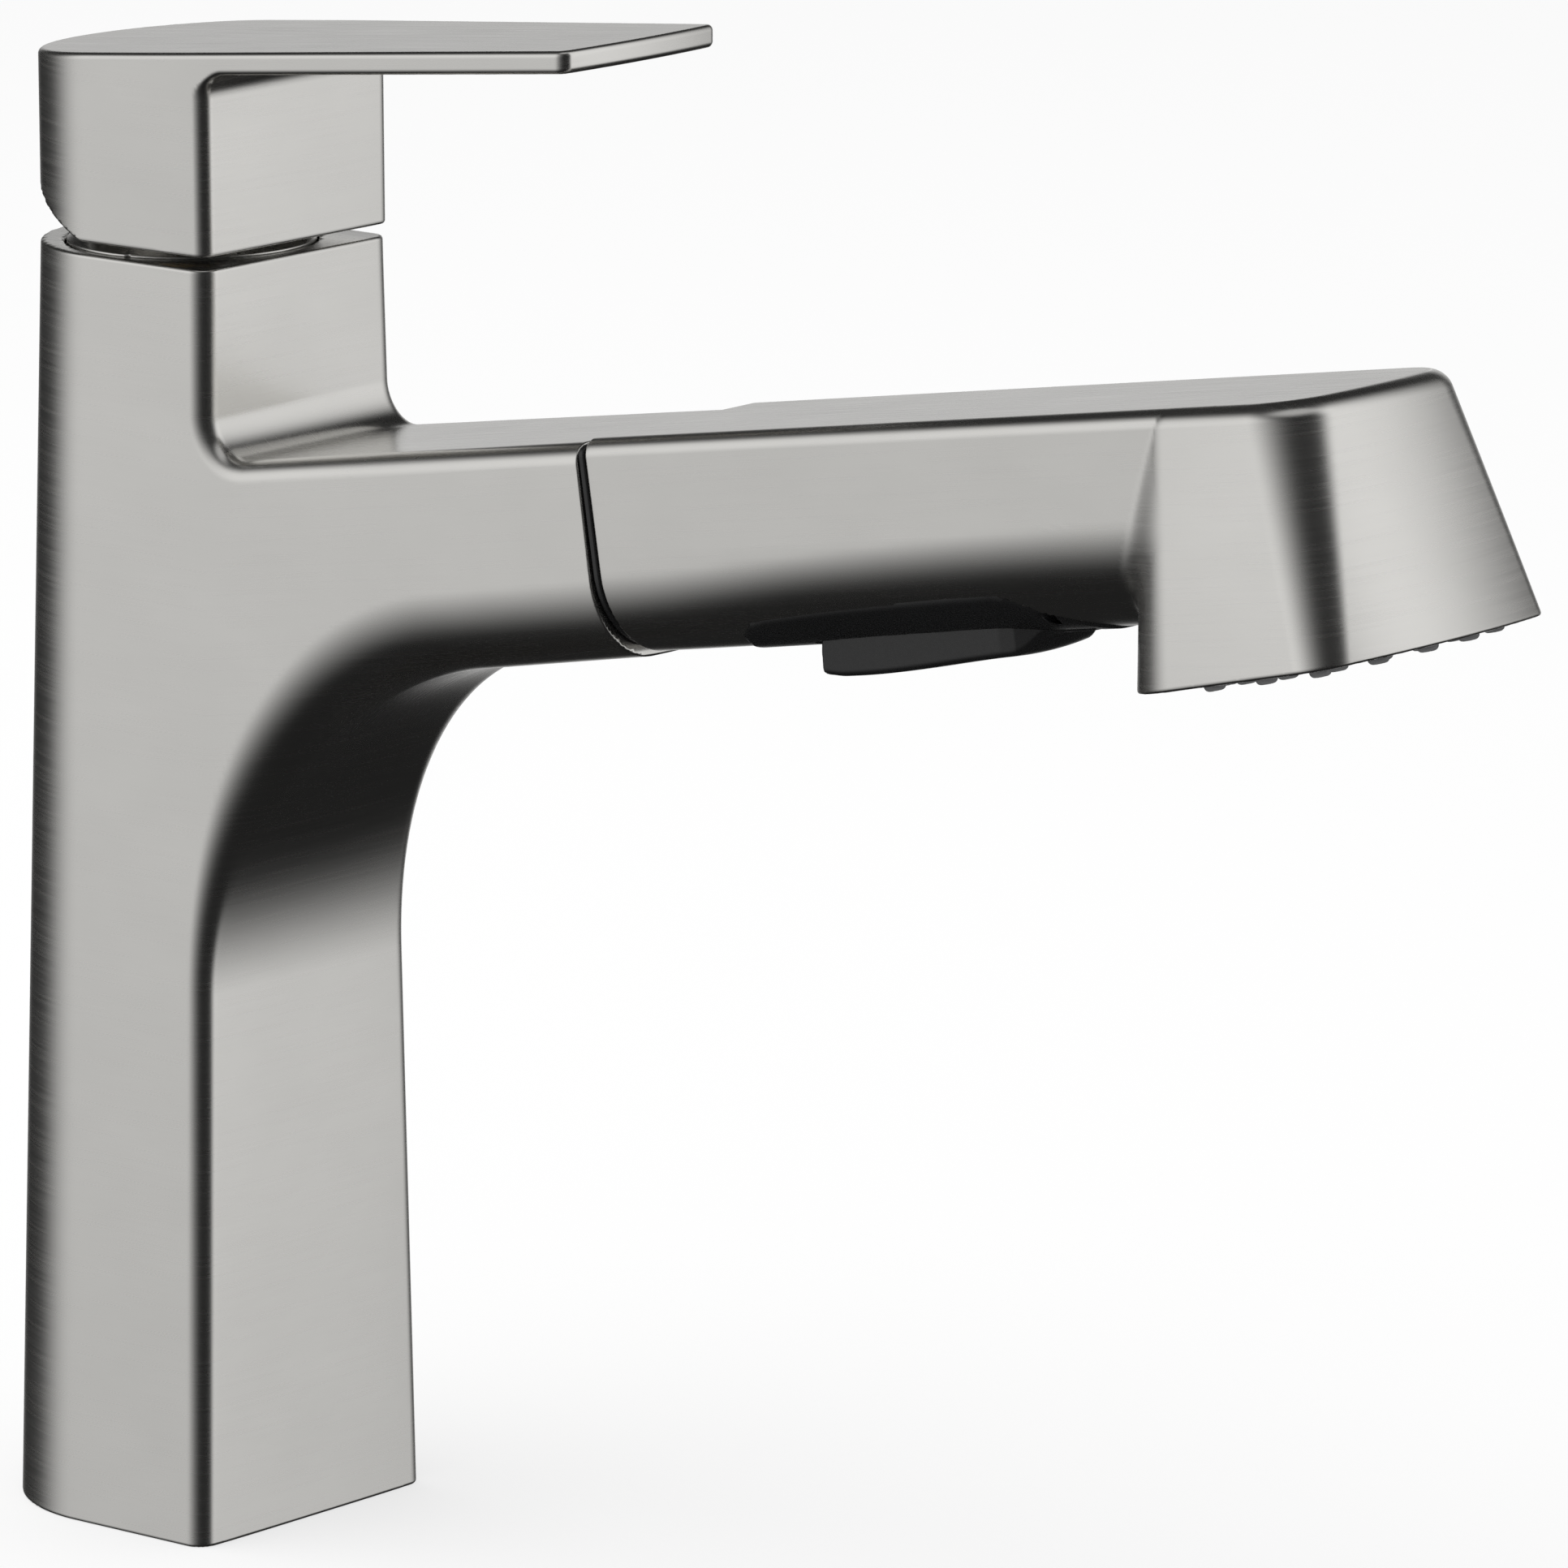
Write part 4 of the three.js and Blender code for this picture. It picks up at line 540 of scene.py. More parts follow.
def spout_outside(x, y, z, sides, s):
    share = round_curve(x, z)
    crown = np.abs(y / cast_half(x, z)) ** 3
    walls = ((-1, 0), (-math.sin(under_angle), math.cos(under_angle)))
    under = corner(x, z, under_centre, walls, UNDER_CURVE_RADIUS)
    under = under + mix(FRONT_CROWN, ARM_CROWN, share) * crown
    top = corner(x, z, top_centre, ((-1, 0), (sin_arm, -cos_arm)), TOP_CURVE_RADIUS)
    top = top + TOP_CROWN * crown * ease(z, DOCK_Z, COLUMN_HEIGHT)
    outside = meet(sides, under, mix(COLUMN_EDGE, ARM_LOW_EDGE, share))
    outside = meet(outside, top, COLUMN_EDGE)
    outside = meet(outside, s + ARM_END_GAP, ARM_END_EDGE)
    outside = meet(outside, z - COLUMN_HEIGHT, RIM_EDGE)
    return meet(outside, -z, RIM_EDGE)


def spout_field(x, y, z):
    sides = spout_sides(x, y, z)
    s, h = arm_frame(x, z)
    inner = np.maximum(sides + COLUMN_WALL, x - COLUMN_FRONT + COLUMN_WALL)
    inner = np.maximum(inner, z - (SEAT_Z - SEAT_FLOOR))
    seat = meet(np.hypot(x, y) - SEAT_RADIUS, SEAT_Z - z, SEAT_EDGE)
    bore = np.hypot(y, h)
    dock = np.maximum(bore - DOCK_BORE_RADIUS, -DOCK_BORE_DEPTH - s)
    passage = np.maximum(bore - HOSE_BORE_RADIUS, -HOSE_BORE_DEPTH - s)
    hollow = np.minimum(np.minimum(inner, seat), np.minimum(dock, passage))
    return meet(spout_outside(x, y, z, sides, s), -hollow, INNER_EDGE)


def spout_grid(x, y, z):
    """Upright at the column, and on the arm level with its top and square to its end."""
    rise = tan_arm * np.maximum(0, x - COLUMN_FRONT) * ease(z, *ARM_LEVELS)
    tilt = ease(x, *ARM_LENGTHS) * (z + rise - DOCK_Z) * tan_arm
    return x - tilt, y, z + rise


def make_spout():
    along = steps(-31.5, (-20, 1.4), (17, 1.7), (23, 0.45), (60, 0.9), (92, 1.3), (97.6, 0.4))
    across = both_sides((9, 1.5), (15.4, 0.9), (26.2, 0.5))
    foot_and_arm = (-0.8, (1.2, 0.25), (85, 2.4), (125, 1.0), (150, 0.7), (162, 1.1))
    up = steps(*foot_and_arm, (176, 0.45), (193.6, 1.3), (197, 0.25))
    made = surface(spout_field, (along, across, up), spout_grid)
    piece("spout_casting", made, MATERIALS["brushed_nickel"], "spout", "spout_body")


# ---------- Handle ----------
TAPER_START = 15
TAPER_SOFTNESS = 3
LEVER_CORNER = 1.6
BLOCK_CROWN = 0.25
BLOCK_DEPTH = 29.5  # from the lever's top to the block's foot at the front
FOOT_EDGE = 0.5
CAVITY_RADIUS = 19.35
CAVITY_TOP = LEVER_TOP_Z - 12.8
HUB_RADIUS = 7.2
HUB_LENGTH = 10.5
SCREW_HOLE_Z = COLUMN_HEIGHT + 12.7
SCREW_HOLE_RADIUS = 2.1


def lever_top(x):
    return LEVER_TOP_Z + x * math.tan(LEVER_ANGLE)


def handle_half(x):
    taper = (BLOCK_HALF_WIDTH - LEVER_END_HALF) / (LEVER_END_X - TAPER_START)
    return BLOCK_HALF_WIDTH - taper * beyond(x, TAPER_START, TAPER_SOFTNESS)


fillet_x = BLOCK_FRONT + LEVER_FILLET
fillet_drop = (LEVER_THICKNESS + LEVER_FILLET) / math.cos(LEVER_ANGLE)
fillet_centre = fillet_x, lever_top(fillet_x) - fillet_drop


def handle_field(x, y, z):
    round_back = np.hypot(x - BLOCK_BACK_CENTRE, y) - BLOCK_HALF_WIDTH
    sides = np.where(x < BLOCK_BACK_CENTRE, round_back, np.abs(y) - handle_half(x))
    end = np.hypot(x - LEVER_END_X + LEVER_END_RADIUS, y) - LEVER_END_RADIUS
    plan = meet(sides, end, LEVER_CORNER)
    top = (z - lever_top(x)) * math.cos(LEVER_ANGLE)
    walls = ((-1, 0), (-math.sin(LEVER_ANGLE), math.cos(LEVER_ANGLE)))
    under = corner(x, z, fillet_centre, walls, LEVER_FILLET)
    on_block = ease(fillet_centre[1] + LEVER_FILLET - z, 0, LEVER_FILLET)
    under = under + BLOCK_CROWN * on_block * (y / BLOCK_HALF_WIDTH) ** 2
    outside = meet(plan, top, LEVER_EDGE)
    outside = meet(outside, under, mix(LEVER_EDGE, BLOCK_EDGE, on_block))
    cut_z = HANDLE_BOTTOM + (BACK_CUT_X - x) * math.tan(BACK_CUT_ANGLE)
    foot = np.maximum(HANDLE_BOTTOM - z, (cut_z - z) * math.cos(BACK_CUT_ANGLE))
    outside = meet(outside, foot, FOOT_EDGE)
    reach = np.hypot(x, y)
    cavity = np.maximum(reach - CAVITY_RADIUS, z - CAVITY_TOP)
    hub = np.maximum(reach - HUB_RADIUS, CAVITY_TOP - HUB_LENGTH - z)
    screw_hole = np.maximum(np.hypot(y, z - SCREW_HOLE_Z) - SCREW_HOLE_RADIUS, x)
    return meet(outside, -np.minimum(np.maximum(cavity, -hub), screw_hole), INNER_EDGE)


def handle_grid(x, y, depth):
    """Level with the lever's top near it, and with the block's foot at the foot."""
    foot = HANDLE_BOTTOM + BLOCK_DEPTH
    return x, y, mix(lever_top(x), foot, ease(depth, 6, 24)) - depth


def make_handle():
    axes = (
        steps(-24, (-16, 0.8), (14, 1.5), (27, 0.45), (86, 1.5), (92.4, 0.35)),
        both_sides((14, 1.5), (21.4, 0.4)),
        steps(-0.6, (4.6, 0.22), (9, 0.7), (26, 1.3), (31, 0.3)),
    )
    made = surface(handle_field, axes, handle_grid)
    piece("handle_casting", made, MATERIALS["brushed_nickel"], "lever", "handle")


# ---------- Wand ----------
WAND_CROWN = 1.2
LEAN_HEIGHT = 12  # the lean grows with the square of the depth below the axis over this
LEAN_LIMIT = 1.3
LEAN_LENGTH = 45  # along the wand, until the lean is at its full
LOW_EDGE_LENGTH = 90
START_EDGE = 0.4
FACE_EDGE = 0.6
GRID_LOW = -19  # below the bar
GRID_TURN = (84, 93)  # between these the grid's foot goes over to the spray face
GRID_HEIGHT = 40


def wand_bottom(s):
    return -WAND_BOTTOM + s * math.tan(WAND_UNDERSIDE_ANGLE)


def face_line(s):
    return -HEAD_DROP + (s - HEAD_BACK_LOW) * math.tan(HEAD_FACE_ANGLE)


def bar_field(s, y, h):
    """The wand's straight part, without its end. Its sides lean in below the axis."""
    low = wand_bottom(s) + WAND_CROWN * (y / WAND_HALF_WIDTH) ** 2
    lean = WAND_LEAN * np.clip(-h / LEAN_HEIGHT, 0, LEAN_LIMIT) ** 2 * ease(s, 0, LEAN_LENGTH)
    sides = np.abs(y) - WAND_HALF_WIDTH + lean
    low_edge = mix(WAND_LOW_EDGE_BACK, WAND_LOW_EDGE_FRONT, ease(s, 0, LOW_EDGE_LENGTH))
    return meet(meet(sides, low - h, low_edge), h - WAND_HALF_HEIGHT, WAND_TOP_EDGE)


def head_field(s, y, h):
    """The spray head, without its lower face, and how far up it is."""
    share = np.clip((h - face_line(s)) / (WAND_HALF_HEIGHT - face_line(s)), -0.1, 1.1)
    back = mix(HEAD_BACK_LOW, HEAD_BACK_TOP, share)
    nose = mix(HEAD_NOSE_LOW, HEAD_NOSE_TOP, share)
    rear_half = mix(HEAD_REAR_HALF, WAND_HALF_WIDTH, share)
    nose_half = mix(HEAD_NOSE_HALF, WAND_HALF_WIDTH, share)
    rounding = mix(HEAD_CORNER_LOW, HEAD_CORNER_TOP, share)
    radius = HEAD_FRONT_RADIUS
    centre = nose - radius
    # The corner's centre is on the line inside the side and on the circle inside the front
    spread = (nose_half - rear_half) / (nose - back)
    stretch = np.sqrt(1 + spread ** 2)
    start = rear_half + (centre - back) * spread - rounding * stretch
    root = np.sqrt((radius - rounding) ** 2 * stretch ** 2 - start ** 2)
    corner_s = (root - start * spread) / stretch ** 2
    corner_y = start + corner_s * spread
    ds, dy = s - centre - corner_s, np.abs(y) - corner_y
    in_corner = (ds + dy * spread > 0) & (dy * corner_s > ds * corner_y)
    side = (np.abs(y) - rear_half - (s - back) * spread) / stretch
    straight = np.maximum(np.hypot(s - centre, y) - radius, side)
    plan = np.where(in_corner, np.hypot(ds, dy) - rounding, straight)
    plan = meet(plan, back - s, mix(HEAD_BACK_CORNER_LOW, HEAD_BACK_CORNER_TOP, share))
    return meet(plan, h - WAND_HALF_HEIGHT, HEAD_TOP_EDGE), share


def wand_skin(s, y, h):
    bar = meet(bar_field(s, y, h), s - WAND_END, 1)
    head, share = head_field(s, y, h)
    return merge(bar, head, np.clip(HEAD_BLEND * ease(1 - share, 0, 0.9), 0.01, HEAD_BLEND))


PANEL_TOP = -WAND_HALF_HEIGHT / 3
PANEL_LIP = 0.6  # how far the switch panel laps over the edge of its opening
PANEL_SIDE = [
    (19.4, 10), (21.2, 13.9), (24.3, 15.7), (27, 16.1), (70, 16.5), (72.5, 16),
    (75.5, 14), (79, 11.2), (82, 8.6), (84, 5.5),
]


def outline_field(s, y, side):
    """Distance from a plan outline given as half of its corners."""
    side = np.array(side, float)
    ring = np.concatenate([side, side[::-1] * (1, -1)])
    best = np.full(np.shape(s), 1e9)
    crossings = np.zeros(np.shape(s), int)
    for (s0, y0), (s1, y1) in zip(ring, np.roll(ring, -1, 0)):
        ds, dy = s1 - s0, y1 - y0
        t = np.clip(((s - s0) * ds + (y - y0) * dy) / (ds * ds + dy * dy), 0, 1)
        best = np.minimum(best, np.hypot(s - s0 - t * ds, y - y0 - t * dy))
        if dy:
            spans = (y0 <= y) != (y1 <= y)
            crossings += spans & (s < s0 + (y - y0) * ds / dy)
    return np.where(crossings % 2, -best, best)


def wand_field(s, y, h):
    skin = wand_skin(s, y, h)
    outside = meet(skin, WAND_START - s, START_EDGE)
    outside = meet(outside, face_line(s) - h, FACE_EDGE)
    shell = meet(outside, -(skin + WAND_WALL), INNER_EDGE)
    panel = np.maximum(outline_field(s, y, PANEL_SIDE) + PANEL_LIP, h - PANEL_TOP)
    return meet(shell, -panel, INNER_EDGE)


def wand_grid(s, y, rise):
    """From the spray face, or from under the bar, up to the top."""
    low = mix(GRID_LOW, face_line(s), ease(s, *GRID_TURN))
    return s, y, mix(low, WAND_HALF_HEIGHT, rise / GRID_HEIGHT)


def make_wand():
    axes = (
        steps(-0.6, (1.2, 0.25), (18.5, 1.15), (86, 0.8), (112, 0.6), (126, 0.8), (142.2, 0.5)),
        both_sides((8, 1.1), (27.8, 0.55)),
        steps(-1.2, (1.5, 0.3), (9, 0.6), (33, 1.1), (36.5, 0.7), (40.8, 0.3)),
    )
    made = surface(wand_field, axes, wand_grid)
    piece("wand_casting", made, MATERIALS["brushed_nickel"], "spray_wand", "wand_shell", turned=True)


# ---------- Switch panel and trigger ----------
PANEL_PROUD = 0.35
PANEL_GAP = 0.35  # round the trigger
PANEL_EDGE = 0.6
PIN_S, PIN_H = 77, -13.4
PIN_HOLE_RADIUS = 1.15
LUG_Y, LUG_H = 7.05, -12.7
LUG_HALF_WIDTH = 0.75
LUG_HALF_LENGTH = 3
LUG_HALF_HEIGHT = 2.3
TRIGGER_START = 31.2
TRIGGER_END = 80.3
TRIGGER_HALF_WIDTH = 9
TRIGGER_SIDE = [
    (TRIGGER_START, TRIGGER_HALF_WIDTH), (65, TRIGGER_HALF_WIDTH), (67.5, 8.6), (70, 7.6),
    (72.5, 6.6), (75, 6.1), (TRIGGER_END, 6),
]
TRIGGER_FLUSH = 72.5  # from here on the trigger lies level with the panel
TRIGGER_DROP = 4.5
PAD_SWELL = 0.35
HOLLOW_DEPTH = 1.9
TRIGGER_CROWN = 0.5
TRIGGER_END_LEAN = 0.16
TRIGGER_LOW_EDGE = 1.1
TRIGGER_SIDE_EDGE = 0.9
BOSS_HEIGHT = 2.4  # round the pin, over the rest of the trigger's inside
SPRING_S = 39
SPRING_ROOM = 3.4
SPRING_TRAVEL = 2.8


def pin_hole(s, h):
    return np.hypot(s - PIN_S, h - PIN_H) - PIN_HOLE_RADIUS


def panel_field(s, y, h):
    skin = bar_field(s, y, h)
    outline = meet(outline_field(s, y, PANEL_SIDE), h - PANEL_TOP, 0.3)
    plate = meet(meet(skin - PANEL_PROUD, outline, PANEL_EDGE), -skin - WAND_WALL, 0.2)
    lug = np.maximum(np.abs(s - PIN_S) - LUG_HALF_LENGTH, np.abs(h - LUG_H) - LUG_HALF_HEIGHT)
    lug = np.maximum(np.abs(np.abs(y) - LUG_Y) - LUG_HALF_WIDTH, lug)
    slot = outline_field(s, y, TRIGGER_SIDE) - PANEL_GAP
    return meet(np.minimum(plate, lug), -np.minimum(slot, pin_hole(s, h)), 0.3)


def trigger_under(s):
    """Height of the trigger's lower face: a pad, a long shallow hollow and a rounded end."""
    depth = TRIGGER_DROP + PAD_SWELL * ease(s, TRIGGER_START, TRIGGER_START + 4)
    depth = depth - HOLLOW_DEPTH * ease(s, TRIGGER_START + 6, 72)
    depth = depth * (1 - ease(s, TRIGGER_FLUSH - 7, TRIGGER_FLUSH) ** 2)
    return wand_bottom(s) - depth - PANEL_PROUD


def trigger_field(s, y, h):
    front = (TRIGGER_START - s) + TRIGGER_END_LEAN * (h + WAND_HALF_HEIGHT)
    under = trigger_under(s) + TRIGGER_CROWN * (y / TRIGGER_HALF_WIDTH) ** 2
    body = meet(front, under - h, TRIGGER_LOW_EDGE)
    body = meet(body, outline_field(s, y, TRIGGER_SIDE), TRIGGER_SIDE_EDGE)
    floor = wand_bottom(s) + WAND_WALL
    inner = h - floor - BOSS_HEIGHT * ease(s, PIN_S - 5, PIN_S - 2.5)
    seat = np.maximum(np.hypot(s - SPRING_S, y) - SPRING_ROOM, floor - SPRING_TRAVEL - h)
    return meet(meet(body, inner, 0.3), -np.minimum(pin_hole(s, h), seat), 0.2)


def make_switch():
    panel_axes = (
        steps(18.6, (26, 0.25), (70, 0.5), (84.8, 0.3)),
        both_sides((5, 0.8), (11, 0.35), (14.6, 0.4), (17.2, 0.14)),
        steps(-17.6, (-10, 0.2), (-4.8, 0.6)),
    )
    made = surface(panel_field, panel_axes)
    piece("switch_plate", made, MATERIALS["black_plastic"], "spray_wand", "switch_panel", turned=True)
    trigger_axes = (
        steps(30, (34, 0.25), (44, 0.4), (66, 0.9), (81, 0.4)),
        both_sides((5.2, 0.4), (9.4, 0.25)),
        steps(-21.8, (-18.4, 0.25), (-10, 0.4)),
    )
    made = surface(trigger_field, trigger_axes)
    piece("trigger_lever", made, MATERIALS["black_plastic"], "spray_trigger", "trigger", turned=True)


# ---------- Spray face ----------
FACE_CENTRE = 119.5
FACE_RECESS = 0.9
FACE_THICKNESS = 2.5
FACE_BACK_ROOM = 0.8
FACE_INSET = WAND_WALL + 1.2
FACE_CORNER = 2.5
FACE_BACK_CORNER = 9.6
FACE_GAP = 0.3  # between the spray face, the mat and the aerator
PLATE_EDGE = 0.3
HOLE_EDGE = 0.2
MAT_LOW = FACE_RECESS + FACE_THICKNESS + FACE_GAP
MAT_THICKNESS = 1.6
NUB_RADIUS = 1.6
NUB_REACH = 1.15
NUB_ROOM = 0.15
NUB_EDGE = 0.8
OUTLET_RADIUS = 0.45
OUTLET_DEPTH = 1.5
OUTLET_EDGE = 0.12
AERATOR_RADIUS = 6

cos_face, sin_face = math.cos(HEAD_FACE_ANGLE), math.sin(HEAD_FACE_ANGLE)


def off_face(points):
    """From the spray face's frame, (from its middle, across, depth into the head), to the wand's."""
    a, y, depth = points[:, 0], points[:, 1], points[:, 2]
    return np.stack([a * cos_face - depth * sin_face, y, a * sin_face + depth * cos_face], 1)


def face_plan(a, y, inset):
    """Distance from the outline of the plates in the head."""
    back = HEAD_BACK_LOW + FACE_BACK_ROOM + inset - FACE_CENTRE
    nose = HEAD_NOSE_LOW - inset - FACE_CENTRE
    spread = (HEAD_NOSE_HALF - HEAD_REAR_HALF) / (HEAD_NOSE_LOW - HEAD_BACK_LOW)
    side = np.abs(y) - HEAD_REAR_HALF + inset - (a - back) * spread
    front = np.hypot(a - nose + HEAD_FRONT_RADIUS, y) - HEAD_FRONT_RADIUS
    return meet(meet(side, front, FACE_CORNER), back - a, FACE_BACK_CORNER)


def nub_places():
    """Where the CAD model's nubs end, in the spray face's frame."""
    mesh = nodes["nozzle_mat"]
    corners = np.array([list(mesh.matrix_world @ vertex.co) for vertex in mesh.data.vertices]) / MM
    moved = corners - np.array([DOCK_X, 0, DOCK_Z])
    turn = ARM_ANGLE + HEAD_FACE_ANGLE
    a = moved[:, 0] * math.cos(turn) + moved[:, 2] * math.sin(turn)
    depth = moved[:, 2] * math.cos(turn) - moved[:, 0] * math.sin(turn)
    middle = FACE_CENTRE * cos_face + face_line(FACE_CENTRE) * sin_face
    lowest = depth < depth.min() + 0.2
    places = []
    for place in zip(a[lowest] - middle, moved[lowest, 1]):
        near = [group for group in places if math.dist(group[0], place) < 2 * NUB_RADIUS]
        if near:
            near[0].append(place)
        else:
            places.append([place])
    return [np.mean(group, 0) for group in places]


def nubs_field(a, y, places, radius):
    """Distance from the nearest nub's side."""
    return np.min([np.hypot(a - centre[0], y - centre[1]) for centre in places], 0) - radius


def head_piece(name, field, axes, material, node):
    vertices, normals, quads = surface(field, axes)
    middle = np.array([FACE_CENTRE, 0, face_line(FACE_CENTRE)])
    made = off_face(vertices) + middle, off_face(normals), quads
    piece(name, made, MATERIALS[material], "spray_wand", node, turned=True)


def make_spray_face():
    places = nub_places()
    back = HEAD_BACK_LOW + FACE_INSET - FACE_CENTRE - 0.6
    nose = HEAD_NOSE_LOW - FACE_INSET - FACE_CENTRE + 0.6

    def plate(a, y, depth):
        slab = np.maximum(FACE_RECESS - depth, depth - FACE_RECESS - FACE_THICKNESS)
        slab = meet(face_plan(a, y, FACE_INSET), slab, PLATE_EDGE)
        middle = np.hypot(a, y) - AERATOR_RADIUS - FACE_GAP
        holes = np.minimum(nubs_field(a, y, places, NUB_RADIUS + NUB_ROOM), middle)
        return meet(slab, -holes, HOLE_EDGE)

    def mat(a, y, depth):
        slab = np.maximum(MAT_LOW - depth, depth - MAT_LOW - MAT_THICKNESS)
        slab = meet(face_plan(a, y, FACE_INSET + FACE_GAP), slab, PLATE_EDGE)
        slab = meet(slab, AERATOR_RADIUS + FACE_GAP - np.hypot(a, y), HOLE_EDGE)
        side = nubs_field(a, y, places, NUB_RADIUS)
        dome = meet(side, np.maximum(-NUB_REACH - depth, depth - MAT_LOW - 0.5), NUB_EDGE)
        outlet = np.maximum(side + NUB_RADIUS - OUTLET_RADIUS, depth - OUTLET_DEPTH)
        return meet(np.minimum(slab, dome), -outlet, OUTLET_EDGE)

    across = both_sides((24.6, 0.42))
    plate_axes = (steps(back, (nose, 0.45)), across, steps(0.4, (3.9, 0.35)))
    head_piece("spray_plate", plate, plate_axes, "grey_plastic", "spray_face")
    mat_axes = (steps(back, (nose, 0.42)), across, steps(-1.6, (0.6, 0.2), (5.8, 0.55)))
    head_piece("nozzle_sheet", mat, mat_axes, "rubber", "nozzle_mat")


# ---------- Dock collar ----------
SOCKET_RADIUS = 9.9
SOCKET_WALL = 2.3
SOCKET_OUTER = SOCKET_RADIUS + SOCKET_WALL
SOCKET_DEPTH = 25
SOCKET_EDGE = 0.4
COLLAR_INSET = 0.9
COLLAR_START, COLLAR_END = -1.4, -0.3
COLLAR_EDGE = 0.3
SOCKET_LIP = 0.6  # how far the sleeve runs into the flange


def collar_field(s, y, h):
    bore = np.hypot(y, h)
    middle, half = (COLLAR_START + COLLAR_END) / 2, (COLLAR_END - COLLAR_START) / 2
    flange = meet(bar_field(s, y, h) + COLLAR_INSET, np.abs(s - middle) - half, COLLAR_EDGE)
    ends = np.maximum(-SOCKET_DEPTH - s, s - COLLAR_START - SOCKET_LIP)
    sleeve = meet(bore - SOCKET_OUTER, ends, COLLAR_EDGE)
    return meet(np.minimum(flange, sleeve), SOCKET_RADIUS - bore, SOCKET_EDGE)


def make_dock_collar():
    along = steps(-SOCKET_DEPTH - 0.6, (1 - SOCKET_DEPTH, 0.3), (-2, 2), (0.2, 0.2))
    across = both_sides((SOCKET_RADIUS - 1, 0.9), (SOCKET_OUTER + 0.6, 0.4), (20.4, 0.5))
    made = surface(collar_field, (along, across, steps(-17.4, (16.4, 0.5))))
    piece("dock_socket", made, MATERIALS["black_plastic"], "spout", "dock_collar", turned=True)


# ---------- Turned ring and hose ----------
def rounded_outline(corners, radius, count=5):
    """Points and outward normals of a closed outline, listed with its inside on the left."""
    points, normals = [], []
    corners = np.array(corners, float)
    for before, at, after in zip(np.roll(corners, 1, 0), corners, np.roll(corners, -1, 0)):
        come, go = at - before, after - at
        come, go = come / np.hypot(*come), go / np.hypot(*go)
        outward = np.array([come[1], -come[0]])
        turn = math.atan2(come[0] * go[1] - come[1] * go[0], come @ go)
        size = radius if turn > 0 else -radius
        centre = at - come * abs(size * math.tan(turn / 2)) - outward * size
        for share in np.linspace(0, 1, count):
            angle = math.atan2(outward[1], outward[0]) + turn * share
            normal = np.array([math.cos(angle), math.sin(angle)])
            points.append(centre + normal * size)
            normals.append(normal)
    return np.array(points), np.array(normals)


def wrapped(rows, columns, closed_rows):
    """Quads of a grid whose columns close on themselves, and whose rows may."""
    starts = np.arange(rows if closed_rows else rows - 1)
    row, column = np.meshgrid(starts, np.arange(columns), indexing="ij")
    row, column = row.ravel() * columns, column.ravel()
    next_row, next_column = (row + columns) % (rows * columns), (column + 1) % columns
    quads = [row + column, row + next_column, next_row + next_column, next_row + column]
    return np.stack(quads, 1)


RING_CORNERS = [(12.6, 193), (18.9, 193), (18.9, 196.3), (15.9, 198.5), (12.6, 198.5)]
RING_EDGE = 0.35
NOTCH_ANGLE = math.radians(-78)
NOTCH_WIDTH, NOTCH_DEPTH = 0.9, 0.7
NOTCH_SLOPE = 0.2  # width of each of its sides
NOTCH_SPAN = 0.06  # radians to each side of it that have finer columns
NOTCH_INNER = 16


def make_bonnet_ring():
    """The ring under the handle, with a small notch in its rim."""
    points, directions = rounded_outline(RING_CORNERS, RING_EDGE)
    angles = np.unique(np.concatenate([
        np.linspace(-math.pi, math.pi, 180, endpoint=False),
        NOTCH_ANGLE + np.linspace(-NOTCH_SPAN, NOTCH_SPAN, 25),
    ]))
    radius, turn = points[:, :1], angles[None, :]
    past_side = (NOTCH_WIDTH + NOTCH_SLOPE) / 2 - np.abs((turn - NOTCH_ANGLE) * radius)
    in_notch = ease(past_side, 0, NOTCH_SLOPE) * (radius > NOTCH_INNER)
    cut_radius = radius - NOTCH_DEPTH * in_notch

    def turned_round(reach, height):
        height = np.broadcast_to(height, cut_radius.shape)
        return np.stack([reach * np.cos(turn), reach * np.sin(turn), height], -1).reshape(-1, 3)

    vertices = turned_round(cut_radius, points[:, 1:])
    normals = turned_round(directions[:, :1], directions[:, 1:])
    made = vertices, normals, wrapped(len(points), len(angles), True)
    piece("bonnet_band", made, MATERIALS["brushed_nickel"], "spout", "bonnet_ring")


HOSE_RADIUS = 5.5
HOSE_X = -10
HOSE_BEND = 34
HOSE_BOTTOM = 0.3
HOSE_END = -20.3  # along the arm's axis, where the hose's rings lie closer together
HOSE_SIDES = 28
STRETCH_START, STRETCH_END = -75, -36  # this part of it lengthens when the wand is drawn


